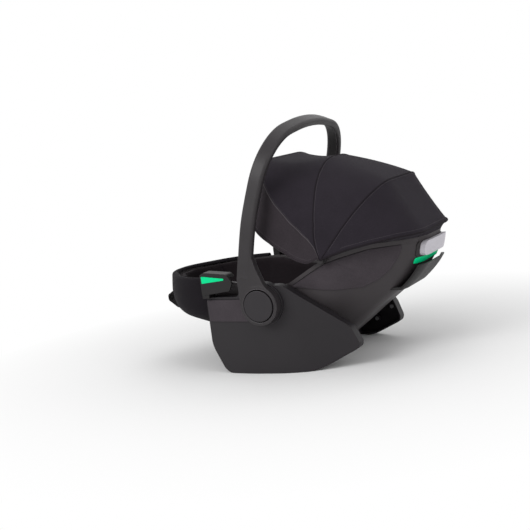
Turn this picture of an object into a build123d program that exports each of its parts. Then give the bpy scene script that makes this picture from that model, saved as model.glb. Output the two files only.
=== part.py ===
"""Infant car seat (baby carrier): a shell on two side wings, a swinging carry handle,
a fan canopy on hinged bows, belt guides, a release lever and an inner harness.

Millimetres. +X is the head end, -X the foot end, +Z is up and the floor is z = 0.
"Left" is the seated child's left, which is the -Y side.
"""
from build123d import *
from math import cos, radians, sin, sqrt
import os

os.makedirs("parts", exist_ok=True)

# Overall size
HALF_LENGTH = 341.0
HALF_WIDTH = 220.0

# Hub, where the carry handle turns
HUB_Z = 155.0
HUB_BOSS_RADIUS = 46.0
HUB_BOSS_FACE = 196.6
HUB_BOSS_BACK = 176.0
LUG_RADIUS = 43.0
AXLE_RADIUS = 7.0
AXLE_FIT = 0.05
AXLE_HEAD_RADIUS = 12.0
AXLE_HEAD_LENGTH = 2.6
AXLE_END_RADIUS = 11.0
AXLE_END_LENGTH = 4.0

# Carry handle
HANDLE_OUTER = 217.0
HANDLE_THICK = 17.0
HANDLE_BREADTH = 33.0
HANDLE_EDGE_RADIUS = 6.5
HANDLE_LEAN_RADIUS = 1121.5
HANDLE_LEAN_X = -40.8
HANDLE_LEAN_RISE = -114.3
HANDLE_START_RISE = 60.0
HANDLE_KNEE_RISE = 176.9
HANDLE_SHOULDER_RISE = 346.6
HANDLE_SHOULDER_HALF = 190.6
HANDLE_KNEE_RADIUS = 300.0
HANDLE_SHOULDER_RADIUS = 110.0
HANDLE_TOP_RADIUS = 540.0
HANDLE_TOP_RISE = 379.5
HANDLE_PATH_STEPS = 30
HANDLE_ROOT_RISE = 108.0
LUG_INNER = 197.0
TRIM_BREADTH = 18.0
TRIM_DEPTH = 3.0
TRIM_FIT = 0.2
TRIM_START_RISE = 150.0

# Handle release: button, lock gear and its pocket
BUTTON_RADIUS = 33.6
BUTTON_FIT = 0.4
BUTTON_FACE_THICK = 3.0
BUTTON_SKIRT_WALL = 3.4
BUTTON_SKIRT_DEPTH = 6.5
BUTTON_EDGE = 1.2
WEB_OUTER = 207.0
WEB_INNER = 202.0
PRONG_RADIUS = 2.2
PRONG_CIRCLE = 17.0
PRONG_FIT = 0.5
GEAR_TIP_RADIUS = 26.0
GEAR_ROOT_RADIUS = 23.0
GEAR_TEETH = 15
GEAR_TOOTH_WIDTH = 4.6
GEAR_THICK = 11.0
GEAR_FIT = 0.3
GEAR_BORE_FIT = 0.3
GEAR_POCKET_FLOOR = 183.5

# Shell hull: plan outlines from the bottom up
# height, foot end, foot shoulder, head shoulder, head end, half width
HULL_LEVELS = (
    (12.0, -70.0, -28.0, 20.0, 72.0, 78.0),
    (45.0, -128.0, -62.0, 45.0, 118.0, 110.0),
    (90.0, -222.0, -120.0, 72.0, 178.0, 136.0),
    (135.0, -298.0, -188.0, 105.0, 240.0, 152.0),
    (175.0, -313.0, -210.0, 140.0, 288.0, 159.0),
    (215.0, -316.0, -215.0, 170.0, 318.0, 162.0),
    (275.0, -316.0, -213.0, 200.0, 338.0, 163.0),
)
NOSE_SHARE = 0.20
CHINE_SHARE = 0.47
HEAD_WIDTH_SHARE = 0.93
TUB_WALL = 5.0
TUB_FLOOR = 12.0
RIM_OVERHANG = 3.0
RIM_BAND = 9.0
RIM_FOOT_Z = 206.0
RIM_HUB_Z = 186.0
RIM_PIVOT_Z = 240.0
RIM_HEAD_Z = 260.0

# Base wings (side panels)
WING_OUTER = 190.5
WING_FOOT_OUTER = 172.0
WING_TIP_OUTER = 126.0
WING_DEPTH = 24.0
WING_WALL = 4.0
WING_GAP = 0.4
WING_SKID_FOOT = -118.0
WING_SKID_HEAD = 98.0
WING_TIP_X = 190.0
WING_TIP_Z = 43.0
WING_CREST_X = 44.0
WING_CREST_Z = 193.0
WING_FOOT_X = -150.0
WING_FOOT_Z = 171.0
WING_BOSS_RADIUS = 7.0

# Cross beams under the shell
BEAM_BREADTH = 20.0
BEAM_HEIGHT = 58.0
BEAM_LIFT = 1.5
REAR_BEAM_X = 55.0
FRONT_BEAM_X = -65.0

# Wing screws
SCREW_HEAD_RADIUS = 4.5
SCREW_HEAD_HEIGHT = 3.0
SCREW_SHANK_RADIUS = 2.2
SCREW_SHANK_LENGTH = 10.0
SCREW_FIT = 0.05

# Canopy
PIVOT_X = 137.0
PIVOT_Z = 238.0
PIVOT_BOSS_RADIUS = 8.0
PIVOT_BOSS_FACE = 158.8
PIN_RADIUS = 3.0
PIN_FIT = 0.06
PIN_HEAD_RADIUS = 7.0
PIN_HEAD_LENGTH = 2.4
PIN_INNER_END = 150.4
BOW_THICK = 2.5
BOW_BREADTH = 6.0
BOW_GAP = 1.1
BOW_SINK = 2.6
BOW_EYE_RADIUS = 9.0
FABRIC = 2.0
FABRIC_GAP = 0.5
PANEL_ROOT = 24.0
CANOPY_SIDE = 175.5
VISOR_ANGLE = 152.0
VISOR_REACH = 225.0
FRONT_ANGLE = 122.9
FRONT_REACH = 256.3
MIDDLE_ANGLE = 92.8
MIDDLE_REACH = 202.7
REAR_ANGLE = 48.4
REAR_REACH = 194.9
HEM_ANGLE = 8.5
VISOR_CORNER = 110.0
FRONT_CORNER = 103.0
MIDDLE_CORNER = 157.0
REAR_CORNER = 116.0
HEM_CORNER = 115.0

# Soft covers outside the shell
COVER_GAP = 4.4
COVER_THICK = 3.6
COVER_HEM_Z = 116.0
COVER_FOOT_END = -153.0
COVER_ROLL = 5.0
SIDE_PANEL_THICK = 2.6
SIDE_PANEL_GAP = 0.3
SKIRT_DROP = 22.0

# Seat pad and harness inside
PAD_GAP = 0.6
PAD_THICK = 14.4
PAD_LIFT = 14.0
PAD_FLOOR = 42.0
STRAP_GAP = 0.6
STRAP_THICK = 1.8
STRAP_HALF = 15.0
STRAP_TOP_X = 205.0
STRAP_TOP_Y = 50.0
STRAP_LOW_X = -12.0
STRAP_LOW_Y = 17.0
SHOULDER_PAD_GAP = 0.4
SHOULDER_PAD_THICK = 9.0
SHOULDER_PAD_HALF = 23.0
SHOULDER_PAD_LOW_X = 28.0
SHOULDER_PAD_TOP_X = 124.0
BUCKLE_FOOT_X = -58.0
BUCKLE_HEAD_X = -18.0
BUCKLE_HALF = 24.0
BUCKLE_HEIGHT = 18.0
BUCKLE_CORNER = 7.0
TONGUE_THICK = 2.4
TONGUE_INSET = 9.0
TONGUE_TAIL = 16.0
BUCKLE_BUTTON_LENGTH = 16.0
BUCKLE_BUTTON_HALF = 11.0
BUCKLE_BUTTON_PROUD = 1.5
BUCKLE_BUTTON_DEPTH = 6.0
BUCKLE_POCKET_DEPTH = 11.0
BUCKLE_BUTTON_FIT = 0.4
CROTCH_END_X = -74.0
CROTCH_HALF = 13.0

# Head support on the back of the pad
HEAD_ANGLE = 37.7
HEAD_START_X = 158.0
HEAD_START_Z = 104.0
HEAD_LOW = 26.0
HEAD_LENGTH = 100.0
HEAD_LIFT = 3.2
HEAD_CLEAR = 19.0
HEAD_HEIGHT = 74.0
HEAD_FOOT_LENGTH = 54.0
HEAD_FOOT_HALF = 22.0

# Harness adjuster at the foot of the pad
ADJUSTER_X = -200.0
ADJUSTER_Z = 103.0
ADJUSTER_LENGTH = 44.0
ADJUSTER_HALF = 20.0
ADJUSTER_DEPTH = 13.0
ADJUSTER_WALL = 2.5
ADJUSTER_FIT = 0.4
ADJUSTER_BUTTON_LENGTH = 24.0
ADJUSTER_BUTTON_HALF = 12.0
ADJUSTER_BUTTON_DEPTH = 5.0
ADJUSTER_PROUD = 1.0
ADJUSTER_TILT = 30.0
PULL_STRAP_HALF = 12.5
PULL_STRAP_THICK = 2.0
PULL_STRAP_UPPER_Z = 164.0
PULL_STRAP_LOWER_Z = 124.0

# Lap belt guides
GUIDE_FOOT_X = -149.0
GUIDE_TIP_X = -70.0
GUIDE_TOP_Z = 229.0
GUIDE_TIP_TOP_Z = 223.0
GUIDE_LOW_Z = 178.0
GUIDE_OUTER = 194.0
GUIDE_INNER = 165.8
GUIDE_PLATE = 5.0
GUIDE_ROOF = 9.0
GUIDE_POST = 17.0
INSERT_THICK = 1.6
INSERT_SINK = 1.0
INSERT_FIT = 0.15

# Rear belt guide and release lever on the back
REAR_GUIDE_HALF = 78.0
REAR_GUIDE_REACH = 18.0
REAR_GUIDE_LIP = 4.0
REAR_GUIDE_LOW_Z = 150.0
REAR_GUIDE_FLOOR = 6.0
REAR_GUIDE_TOP_Z = 202.0
REAR_INSERT_LOW_Z = 203.0
REAR_INSERT_TOP_Z = 216.0
REAR_INSERT_HALF = 72.0
REAR_INSERT_THICK = 2.0
LEVER_LOW_Z = 218.0
LEVER_TOP_Z = 250.0
LEVER_HALF = 66.0
LEVER_GAP = 0.8
LEVER_REACH = 10.0
LEVER_SWEEP = 8.0

BIG = 900.0


def rounded(points, radii):
    """Closed plane face through the points, each corner rounded."""
    return make_face(FilletPolyline(*points, radius=radii, close=True))


def set_in(points, radii, amount):
    """The points and corner radii of an outline, drawn anticlockwise, set in all round."""
    corners = [Vector(*point) for point in points]
    new_points = []
    new_radii = []
    for index, corner in enumerate(corners):
        before = (corner - corners[index - 1]).normalized()
        after = (corners[(index + 1) % len(corners)] - corner).normalized()
        inward = Vector(-before.Y - after.Y, before.X + after.X)
        moved = corner + inward * (amount / (1.0 + before.dot(after)))
        bulges = before.X * after.Y - before.Y * after.X > 0
        radius = radii[index]
        if radius > 0.0:
            radius = radius - amount if bulges else radius + amount
        new_points.append((moved.X, moved.Y))
        new_radii.append(max(radius, 0.0))
    return rounded(new_points, new_radii)


def side_prism(face, near, far):
    """A face drawn in (x, z), pulled from y = near to y = far."""
    plane = Plane(origin=(0, near, 0), x_dir=(1, 0, 0), z_dir=(0, -1, 0))
    return extrude(plane * face, amount=far - near, dir=(0, 1, 0))


def plan_prism(face, low, high):
    """A face drawn in (x, y), pulled from z = low to z = high."""
    return extrude(Pos(0, 0, low) * face, amount=high - low, dir=(0, 0, 1))


def block(x0, x1, y0, y1, z0, z1):
    """A box between two corners."""
    centre = Pos((x0 + x1) / 2, (y0 + y1) / 2, (z0 + z1) / 2)
    return centre * Box(x1 - x0, y1 - y0, z1 - z0)


def disc(x, z, radius, near, far):
    """A cylinder along Y between y = near and y = far."""
    centre = Pos(x, (near + far) / 2, z) * Rot(90, 0, 0)
    return centre * Cylinder(radius, abs(far - near))


def other_side(part):
    """The same piece on the other side of the seat."""
    return mirror(part, about=Plane.XZ)


def hull_outline(level, grow):
    """One plan outline of the shell, grown sideways by the given amount."""
    height, foot, foot_shoulder, head_shoulder, head, half = level
    nose = half * NOSE_SHARE + grow * 0.3
    chine = half * CHINE_SHARE + grow * 0.5
    wide = half + grow
    narrow = half * HEAD_WIDTH_SHARE + grow
    length = head - foot + 2 * grow
    right = [
        (foot - grow, nose),
        (foot_shoulder, wide),
        (head_shoulder, narrow),
        (head + grow, chine),
    ]
    left = [(x, -y) for x, y in reversed(right)]
    nose_radius = nose * 2.2
    side_radius = length * 0.27
    chine_radius = 12.0 + height * 0.28
    radii = [nose_radius, side_radius, side_radius, chine_radius]
    radii = radii + list(reversed(radii))
    return Pos(0, 0, height) * rounded(right + left, radii)


def hull(grow, floor=TUB_FLOOR, lift=0.0):
    """The solid inside the shell's outline, grown, lifted and cut off below a floor."""
    solid = Pos(0, 0, lift) * loft([hull_outline(level, grow) for level in HULL_LEVELS])
    if floor > TUB_FLOOR:
        solid = solid & block(-BIG, BIG, -BIG, BIG, floor, BIG)
    return solid


def rim_line(shift):
    """Side view of everything below the rim line moved up by the given amount."""
    points = [
        (-BIG, -100.0),
        (-BIG, RIM_FOOT_Z + shift),
        (-120.0, RIM_FOOT_Z + shift),
        (-20.0, RIM_HUB_Z + shift),
        (40.0, RIM_HUB_Z + shift),
        (PIVOT_X, RIM_PIVOT_Z + shift),
        (230.0, RIM_HEAD_Z + shift),
        (BIG, RIM_HEAD_Z + shift),
        (BIG, -100.0),
    ]
    radii = [0.0, 0.0, 150.0, 150.0, 60.0, 200.0, 150.0, 0.0, 0.0]
    return side_prism(rounded(points, radii), -BIG, BIG)


def wing_plan(inset, depth):
    """Plan band of a wing, from its outer face set in by inset to a depth further in."""
    outer = [
        (-185.0, WING_FOOT_OUTER - inset),
        (-55.0, WING_OUTER - inset),
        (45.0, WING_OUTER - inset),
        (215.0, WING_TIP_OUTER - inset),
    ]
    inner = [(x, y - depth) for x, y in reversed(outer)]
    radii = [0.0, 300.0, 240.0, 0.0, 0.0, 240.0, 300.0, 0.0]
    return plan_prism(rounded(outer + inner, radii), -50.0, 300.0)


def wing_side(inset):
    """Side outline of a wing, set in by inset all round."""
    points = [
        (WING_SKID_FOOT, 0.0),
        (WING_SKID_HEAD, 0.0),
        (WING_TIP_X, WING_TIP_Z),
        (WING_TIP_X - 18.0, WING_TIP_Z + 46.0),
        (WING_CREST_X, WING_CREST_Z),
        (-48.0, WING_CREST_Z),
        (-66.0, WING_FOOT_Z),
        (WING_FOOT_X, WING_FOOT_Z),
        (WING_FOOT_X, 62.0),
    ]
    radii = [30.0, 120.0, 15.0, 40.0, 45.0, 18.0, 10.0, 14.0, 60.0]
    return side_prism(set_in(points, radii, inset), 0.0, 260.0)


def bow_plane(angle):
    """Plane of a canopy bow: its x runs out from the pivot, its y along +Y."""
    turn = radians(angle)
    return Plane(
        origin=(PIVOT_X, 0, PIVOT_Z),
        x_dir=(cos(turn), 0, sin(turn)),
        z_dir=(-sin(turn), 0, cos(turn)),
    )


def arch(start, reach, half, corner, grow):
    """The area under an arch with straight legs that begin at a distance from the pivot."""
    legs = [(start, half + grow), (start, -half - grow)]
    top = [(reach + grow, -half - grow), (reach + grow, half + grow)]
    return rounded(legs + top, [0.0, 0.0, corner + grow, corner + grow])


def bow(angle, reach, side, corner):
    """A flat bow strip with an eye for the pivot pin at both ends."""
    crown = reach - BOW_SINK
    outer = arch(4.0, crown, side, corner, 0.0)
    inner = arch(-5.0, crown, side, corner, -BOW_THICK)
    band = bow_plane(angle) * (outer - inner)
    strip = extrude(band, amount=BOW_BREADTH / 2, both=True)
    for hand in (1, -1):
        strip += disc(PIVOT_X, PIVOT_Z, BOW_EYE_RADIUS, hand * (side - BOW_THICK), hand * side)
        strip -= disc(PIVOT_X, PIVOT_Z, PIN_RADIUS + PIN_FIT, hand * 140.0, hand * 190.0)
    return strip


def canopy_edge(angle, reach, corner, grow, start):
    """The area under a canopy panel where it crosses a bow."""
    return bow_plane(angle) * arch(start, reach, CANOPY_SIDE, corner, grow)


def canopy_panel(first, second):
    """A tight fabric panel between two bows, each (angle, reach, corner)."""
    over = FABRIC_GAP + FABRIC
    outer = loft([canopy_edge(*first, over, PANEL_ROOT), canopy_edge(*second, over, PANEL_ROOT)],
                 ruled=True)
    under = loft([canopy_edge(*first, FABRIC_GAP, 2.0), canopy_edge(*second, FABRIC_GAP, 2.0)],
                 ruled=True)
    return outer - under


# Shell
below_rim = rim_line(0.0)
below_band = rim_line(-RIM_BAND)
hull_outer = hull(0.0)
hull_inner = hull(-TUB_WALL, TUB_FLOOR + TUB_WALL)
hull_rim = hull(RIM_OVERHANG)
tub = (hull_outer & below_rim) + ((hull_rim & below_rim) - below_band)
for hand in (1, -1):
    tub += disc(PIVOT_X, PIVOT_Z, PIVOT_BOSS_RADIUS, hand * 140.0, hand * PIVOT_BOSS_FACE)
notch_half = LEVER_HALF + LEVER_SWEEP
rim_notch = block(200.0, BIG, -notch_half, notch_half, LEVER_TOP_Z - LEVER_SWEEP, BIG)
tub -= (hull_rim - hull_outer) & rim_notch
tub -= hull_inner
for hand in (1, -1):
    tub -= disc(PIVOT_X, PIVOT_Z, PIN_RADIUS, hand * 130.0, hand * 190.0)

# Base wings: open trays that face inwards
hull_clear = hull(WING_GAP)
rim_clear = (hull(RIM_OVERHANG + WING_GAP) & rim_line(WING_GAP)) - rim_line(-RIM_BAND - WING_GAP)
wing = wing_plan(0.0, WING_DEPTH) & wing_side(0.0)
wing -= wing_plan(WING_WALL, WING_DEPTH) & wing_side(WING_WALL)
wing += disc(0, HUB_Z, HUB_BOSS_RADIUS, HUB_BOSS_BACK, HUB_BOSS_FACE)
screw_spots = ((160.0, 72.0), (112.0, 40.0), (-100.0, 30.0), (-130.0, 140.0))
for x, z in screw_spots:
    wing += wing_plan(WING_WALL - 1.0, SCREW_SHANK_LENGTH) & disc(x, z, WING_BOSS_RADIUS, 60, 230)
wing -= hull_clear
wing -= rim_clear
gear_space = disc(0, HUB_Z, GEAR_ROOT_RADIUS + GEAR_FIT, GEAR_POCKET_FLOOR, 230.0)
tooth_reach = GEAR_TIP_RADIUS + GEAR_FIT
for tooth in range(GEAR_TEETH):
    tooth_gap = Pos(tooth_reach / 2, 0, 0) * Box(
        tooth_reach, GEAR_TOOTH_WIDTH + 2 * GEAR_FIT, 230.0 - GEAR_POCKET_FLOOR)
    tooth_gap = Rot(0, 0, tooth * 360.0 / GEAR_TEETH) * tooth_gap
    gear_space += Pos(0, (GEAR_POCKET_FLOOR + 230.0) / 2, HUB_Z) * Rot(90, 0, 0) * tooth_gap
wing -= gear_space
wing -= disc(0, HUB_Z, AXLE_RADIUS + AXLE_FIT, 150.0, 230.0)

# Wing screws, seen from inside the trays
wing_screws = []
for x, z in screw_spots:
    tower = wing_plan(WING_WALL - 1.0, SCREW_SHANK_LENGTH) & disc(x, z, 1.0, 60, 230)
    seat = tower.bounding_box().min.Y
    hole = disc(x, z, SCREW_SHANK_RADIUS + SCREW_FIT, seat - 20.0, seat + 8.0)
    wing -= hole + disc(x, z, WING_BOSS_RADIUS + 1.0, seat - 14.0, seat)
    screw = disc(x, z, SCREW_SHANK_RADIUS, seat - 0.3, seat + 7.0)
    screw += disc(x, z, SCREW_HEAD_RADIUS, seat - 0.3 - SCREW_HEAD_HEIGHT, seat - 0.3)
    slot = block(x - 3.0, x + 3.0, seat - 10.0, seat - 2.2, z - 0.6, z + 0.6)
    wing_screws.append(screw - slot)
wing_screws = wing_screws + [other_side(screw) for screw in wing_screws]

# Cross beams that carry the shell between the wings
beam_space = wing_plan(-WING_GAP, WING_DEPTH + 2 * WING_GAP) + hull_clear
beam_space = beam_space + other_side(wing_plan(-WING_GAP, WING_DEPTH + 2 * WING_GAP))
beam_half = WING_OUTER - WING_DEPTH - WING_GAP
beams = []
for x in (FRONT_BEAM_X, REAR_BEAM_X):
    beam = block(x - BEAM_BREADTH / 2, x + BEAM_BREADTH / 2, -beam_half, beam_half,
                 BEAM_LIFT, BEAM_LIFT + BEAM_HEIGHT)
    beams.append(beam - beam_space)

# Hub axles
axle = disc(0, HUB_Z, AXLE_RADIUS, HUB_BOSS_BACK - 0.3, WEB_OUTER + 0.3)
axle += disc(0, HUB_Z, AXLE_HEAD_RADIUS, WEB_OUTER + 0.3, WEB_OUTER + 0.3 + AXLE_HEAD_LENGTH)
axle += disc(0, HUB_Z, AXLE_END_RADIUS, HUB_BOSS_BACK - 0.3 - AXLE_END_LENGTH, HUB_BOSS_BACK - 0.3)

# Carry handle: a rounded band swept along a leaning arch
handle_leg = HANDLE_OUTER - HANDLE_THICK / 2
front_points = [
    (handle_leg, HANDLE_START_RISE),
    (handle_leg, HANDLE_KNEE_RISE),
    (HANDLE_SHOULDER_HALF, HANDLE_SHOULDER_RISE),
    (0.0, HANDLE_TOP_RISE),
]
front_points = front_points + [(-y, rise) for y, rise in reversed(front_points[:-1])]
front_radii = [HANDLE_KNEE_RADIUS, HANDLE_SHOULDER_RADIUS, HANDLE_TOP_RADIUS,
               HANDLE_SHOULDER_RADIUS, HANDLE_KNEE_RADIUS]
front_path = FilletPolyline(*front_points, radius=front_radii)


def lean_at(rise):
    """How far towards the head end the handle's middle lies at a height above the hub."""
    climb = rise - HANDLE_LEAN_RISE
    return HANDLE_LEAN_X + HANDLE_LEAN_RADIUS - sqrt(HANDLE_LEAN_RADIUS**2 - climb**2)


handle_places = []
for step in range(HANDLE_PATH_STEPS + 1):
    spot = front_path @ (step / HANDLE_PATH_STEPS)
    run = front_path % (step / HANDLE_PATH_STEPS)
    climb = spot.Y - HANDLE_LEAN_RISE
    slope = climb / sqrt(HANDLE_LEAN_RADIUS**2 - climb**2)
    across = Vector(1.0, 0.0, -slope).normalized()
    onward = Vector(slope * run.Y, run.X, run.Y).normalized()
    middle = (lean_at(spot.Y), spot.X, HUB_Z + spot.Y)
    handle_places.append(Plane(origin=middle, x_dir=across, z_dir=onward))


def along_handle(face):
    """A face drawn across the handle, carried along the whole handle."""
    return loft([place * face for place in handle_places])


root_points = [
    (-LUG_RADIUS + 0.2, HUB_Z + 2.0),
    (-LUG_RADIUS - 1.6, HUB_Z + 58.0),
    (-34.0, HUB_Z + HANDLE_ROOT_RISE),
    (-4.0, HUB_Z + HANDLE_ROOT_RISE),
    (4.0, HUB_Z + 78.0),
    (16.0, HUB_Z + 46.0),
    (LUG_RADIUS - 3.0, HUB_Z + 14.0),
]
root_face = rounded(root_points, [0.0, 40.0, 0.0, 0.0, 40.0, 30.0, 0.0])
handle = along_handle(RectangleRounded(HANDLE_BREADTH, HANDLE_THICK, HANDLE_EDGE_RADIUS))
for hand in (1, -1):
    handle += disc(0, HUB_Z, LUG_RADIUS, hand * LUG_INNER, hand * HANDLE_OUTER)
    root_near = hand * (HANDLE_OUTER - HANDLE_THICK + 0.6)
    handle += side_prism(root_face, root_near, hand * (HANDLE_OUTER - 0.6))
trim_low = block(-BIG, BIG, -BIG, BIG, HUB_Z + TRIM_START_RISE, BIG)
trim_face = Pos(0, (TRIM_DEPTH - HANDLE_THICK) / 2) * Rectangle(TRIM_BREADTH, TRIM_DEPTH)
trim = along_handle(trim_face) & trim_low
trim_space_low = block(-BIG, BIG, -BIG, BIG, HUB_Z + TRIM_START_RISE - TRIM_FIT, BIG)
trim_space = Pos(0, (TRIM_DEPTH + TRIM_FIT - HANDLE_THICK - 4.0) / 2) * Rectangle(
    TRIM_BREADTH + 2 * TRIM_FIT, TRIM_DEPTH + TRIM_FIT + 4.0)
handle -= along_handle(trim_space) & trim_space_low
for hand in (1, -1):
    handle -= disc(0, HUB_Z, BUTTON_RADIUS + BUTTON_FIT, hand * WEB_OUTER, hand * 240.0)
    handle -= disc(0, HUB_Z, GEAR_TIP_RADIUS + 2 * GEAR_FIT, hand * 190.0, hand * WEB_INNER)
    handle -= disc(0, HUB_Z, AXLE_RADIUS + AXLE_FIT, hand * 180.0, hand * 240.0)
    for prong in range(3):
        turn = radians(90.0 + prong * 120.0)
        handle -= disc(PRONG_CIRCLE * cos(turn), HUB_Z + PRONG_CIRCLE * sin(turn),
                       PRONG_RADIUS + PRONG_FIT, hand * 180.0, hand * 240.0)

# Handle release buttons and lock gears
button = disc(0, HUB_Z, BUTTON_RADIUS, HALF_WIDTH - BUTTON_SKIRT_DEPTH, HALF_WIDTH)
rim_edges = button.edges().filter_by(GeomType.CIRCLE).sort_by(Axis.Y)[-1:]
button = fillet(rim_edges, radius=BUTTON_EDGE)
button -= disc(0, HUB_Z, BUTTON_RADIUS - BUTTON_SKIRT_WALL, HALF_WIDTH - BUTTON_SKIRT_DEPTH - 1.0,
               HALF_WIDTH - BUTTON_FACE_THICK)
gear_top = WEB_INNER - GEAR_FIT
for prong in range(3):
    turn = radians(90.0 + prong * 120.0)
    button += disc(PRONG_CIRCLE * cos(turn), HUB_Z + PRONG_CIRCLE * sin(turn), PRONG_RADIUS,
                   gear_top + GEAR_FIT, HALF_WIDTH - BUTTON_FACE_THICK + 0.5)
gear = disc(0, HUB_Z, GEAR_ROOT_RADIUS, gear_top - GEAR_THICK, gear_top)
for tooth in range(GEAR_TEETH):
    tooth_bar = Pos(GEAR_TIP_RADIUS / 2, 0, 0) * Box(GEAR_TIP_RADIUS, GEAR_TOOTH_WIDTH, GEAR_THICK)
    tooth_bar = Rot(0, 0, tooth * 360.0 / GEAR_TEETH) * tooth_bar
    gear += Pos(0, gear_top - GEAR_THICK / 2, HUB_Z) * Rot(90, 0, 0) * tooth_bar
gear -= disc(0, HUB_Z, AXLE_RADIUS + GEAR_BORE_FIT, 150.0, 240.0)

# Canopy bows, side by side along the pivot pins
bow_step = BOW_THICK + BOW_GAP
rear_side = PIVOT_BOSS_FACE + bow_step
middle_side = rear_side + bow_step
front_side = middle_side + bow_step
visor_side = front_side + bow_step
rear_bow = bow(REAR_ANGLE, REAR_REACH, rear_side, REAR_CORNER)
middle_bow = bow(MIDDLE_ANGLE, MIDDLE_REACH, middle_side, MIDDLE_CORNER)
front_bow = bow(FRONT_ANGLE, FRONT_REACH, front_side, FRONT_CORNER)
visor_bow = bow(VISOR_ANGLE, VISOR_REACH, visor_side, VISOR_CORNER)
pin_face = visor_side + BOW_GAP
canopy_pins = []
for hand in (1, -1):
    pin = disc(PIVOT_X, PIVOT_Z, PIN_RADIUS, hand * PIN_INNER_END, hand * (pin_face + 0.5))
    pin += disc(PIVOT_X, PIVOT_Z, PIN_HEAD_RADIUS, hand * pin_face, hand * (pin_face + PIN_HEAD_LENGTH))
    canopy_pins.append(pin)

# Canopy fabric between the bows
hem_reach = (HALF_LENGTH - PIVOT_X) / cos(radians(HEM_ANGLE)) - FABRIC_GAP - FABRIC
hem_line = (HEM_ANGLE, hem_reach, HEM_CORNER)
rear_line = (REAR_ANGLE, REAR_REACH, REAR_CORNER)
middle_line = (MIDDLE_ANGLE, MIDDLE_REACH, MIDDLE_CORNER)
front_line = (FRONT_ANGLE, FRONT_REACH, FRONT_CORNER)
visor_line = (VISOR_ANGLE, VISOR_REACH, VISOR_CORNER)
rear_panel = canopy_panel(hem_line, rear_line)
middle_panel = canopy_panel(rear_line, middle_line)
front_panel = canopy_panel(middle_line, front_line)
visor_panel = canopy_panel(front_line, visor_line)

# Soft cover over the foot end, and side covers
cover_outer = hull(COVER_GAP + COVER_THICK)
cover_inner = hull(COVER_GAP)
foot_zone = block(-BIG, COVER_FOOT_END, -BIG, BIG, COVER_HEM_Z, BIG)
foot_cover = (cover_outer - cover_inner) & rim_line(0.6) & foot_zone
cover_roll = (cover_outer - hull(-TUB_WALL)) & (rim_line(COVER_ROLL) - rim_line(0.6))
foot_cover += cover_roll & foot_zone
skirt_points = [
    (72.0, 196.0),
    (112.0, 176.0),
    (205.0, 164.0),
    (262.0, 196.0),
    (292.0, 242.0),
    (286.0, 300.0),
    (72.0, 300.0),
]
skirt_shape = rounded(skirt_points, [12.0, 40.0, 60.0, 40.0, 20.0, 0.0, 0.0])
strip_skin = hull(WING_GAP + REAR_INSERT_THICK) - hull_clear
skirt = strip_skin & side_prism(skirt_shape, 0.0, 260.0) & rim_line(-SKIRT_DROP)
side_panel_points = [
    (WING_FOOT_X + 3.0, COVER_HEM_Z),
    (-30.0, COVER_HEM_Z),
    (-30.0, WING_FOOT_Z - 4.0),
    (WING_FOOT_X + 3.0, WING_FOOT_Z - 4.0),
]
side_panel = side_prism(rounded(side_panel_points, 10.0), 0.0, 260.0)
side_panel = side_panel & wing_plan(-SIDE_PANEL_GAP - SIDE_PANEL_THICK, SIDE_PANEL_THICK)
side_panel -= disc(0, HUB_Z, HUB_BOSS_RADIUS + 3.0, 100.0, 260.0)

# Seat pad
pad_outer = hull(-TUB_WALL - PAD_GAP, TUB_FLOOR + TUB_WALL + PAD_GAP)
pad_depth = TUB_WALL + PAD_GAP + PAD_THICK
pad_inner = hull(-pad_depth, PAD_FLOOR, PAD_LIFT)
seat_pad = (pad_outer & below_rim) - pad_inner

# Harness straps and shoulder pads lying on the seat pad
strap_under = STRAP_GAP
strap_over = strap_under + STRAP_THICK
sleeve_under = strap_over + SHOULDER_PAD_GAP
sleeve_over = sleeve_under + SHOULDER_PAD_THICK


def above_pad(rise):
    """Everything inside the seat further than rise from the seat pad."""
    return hull(-pad_depth - rise, PAD_FLOOR + rise, PAD_LIFT + rise)


def strap_line(x):
    """Distance of a shoulder strap's middle from the seat's middle."""
    share = (x - STRAP_LOW_X) / (STRAP_TOP_X - STRAP_LOW_X)
    return STRAP_LOW_Y + share * (STRAP_TOP_Y - STRAP_LOW_Y)


def strap_zone(low_x, top_x, half, corner):
    """Upright zone over a shoulder strap between two places along the seat."""
    points = [
        (top_x, strap_line(top_x) - half),
        (top_x, strap_line(top_x) + half),
        (low_x, strap_line(low_x) + half),
        (low_x, strap_line(low_x) - half),
    ]
    return plan_prism(rounded(points, corner), 0.0, 400.0)


strap = above_pad(strap_under) - above_pad(strap_over)
strap = strap & strap_zone(STRAP_LOW_X, STRAP_TOP_X, STRAP_HALF, 2.0)
sleeve = above_pad(sleeve_under) - above_pad(sleeve_over)
sleeve = sleeve & strap_zone(SHOULDER_PAD_LOW_X, SHOULDER_PAD_TOP_X, SHOULDER_PAD_HALF, 10.0)

# Buckle, its button, the strap tongues and the crotch strap
buckle_low = PAD_FLOOR + strap_over + 0.4
buckle_top = buckle_low + BUCKLE_HEIGHT
buckle_mid = (BUCKLE_FOOT_X + BUCKLE_HEAD_X) / 2
buckle_face = Pos(buckle_mid, 0) * RectangleRounded(
    BUCKLE_HEAD_X - BUCKLE_FOOT_X, 2 * BUCKLE_HALF, BUCKLE_CORNER)
buckle = plan_prism(buckle_face, buckle_low, buckle_top)
buckle = fillet(buckle.edges().group_by(Axis.Z)[-1], radius=3.0)
button_x = buckle_mid - 4.0
buckle -= block(button_x - BUCKLE_BUTTON_LENGTH / 2 - BUCKLE_BUTTON_FIT,
                button_x + BUCKLE_BUTTON_LENGTH / 2 + BUCKLE_BUTTON_FIT,
                -BUCKLE_BUTTON_HALF - BUCKLE_BUTTON_FIT, BUCKLE_BUTTON_HALF + BUCKLE_BUTTON_FIT,
                buckle_top - BUCKLE_POCKET_DEPTH, buckle_top + 5.0)
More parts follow.
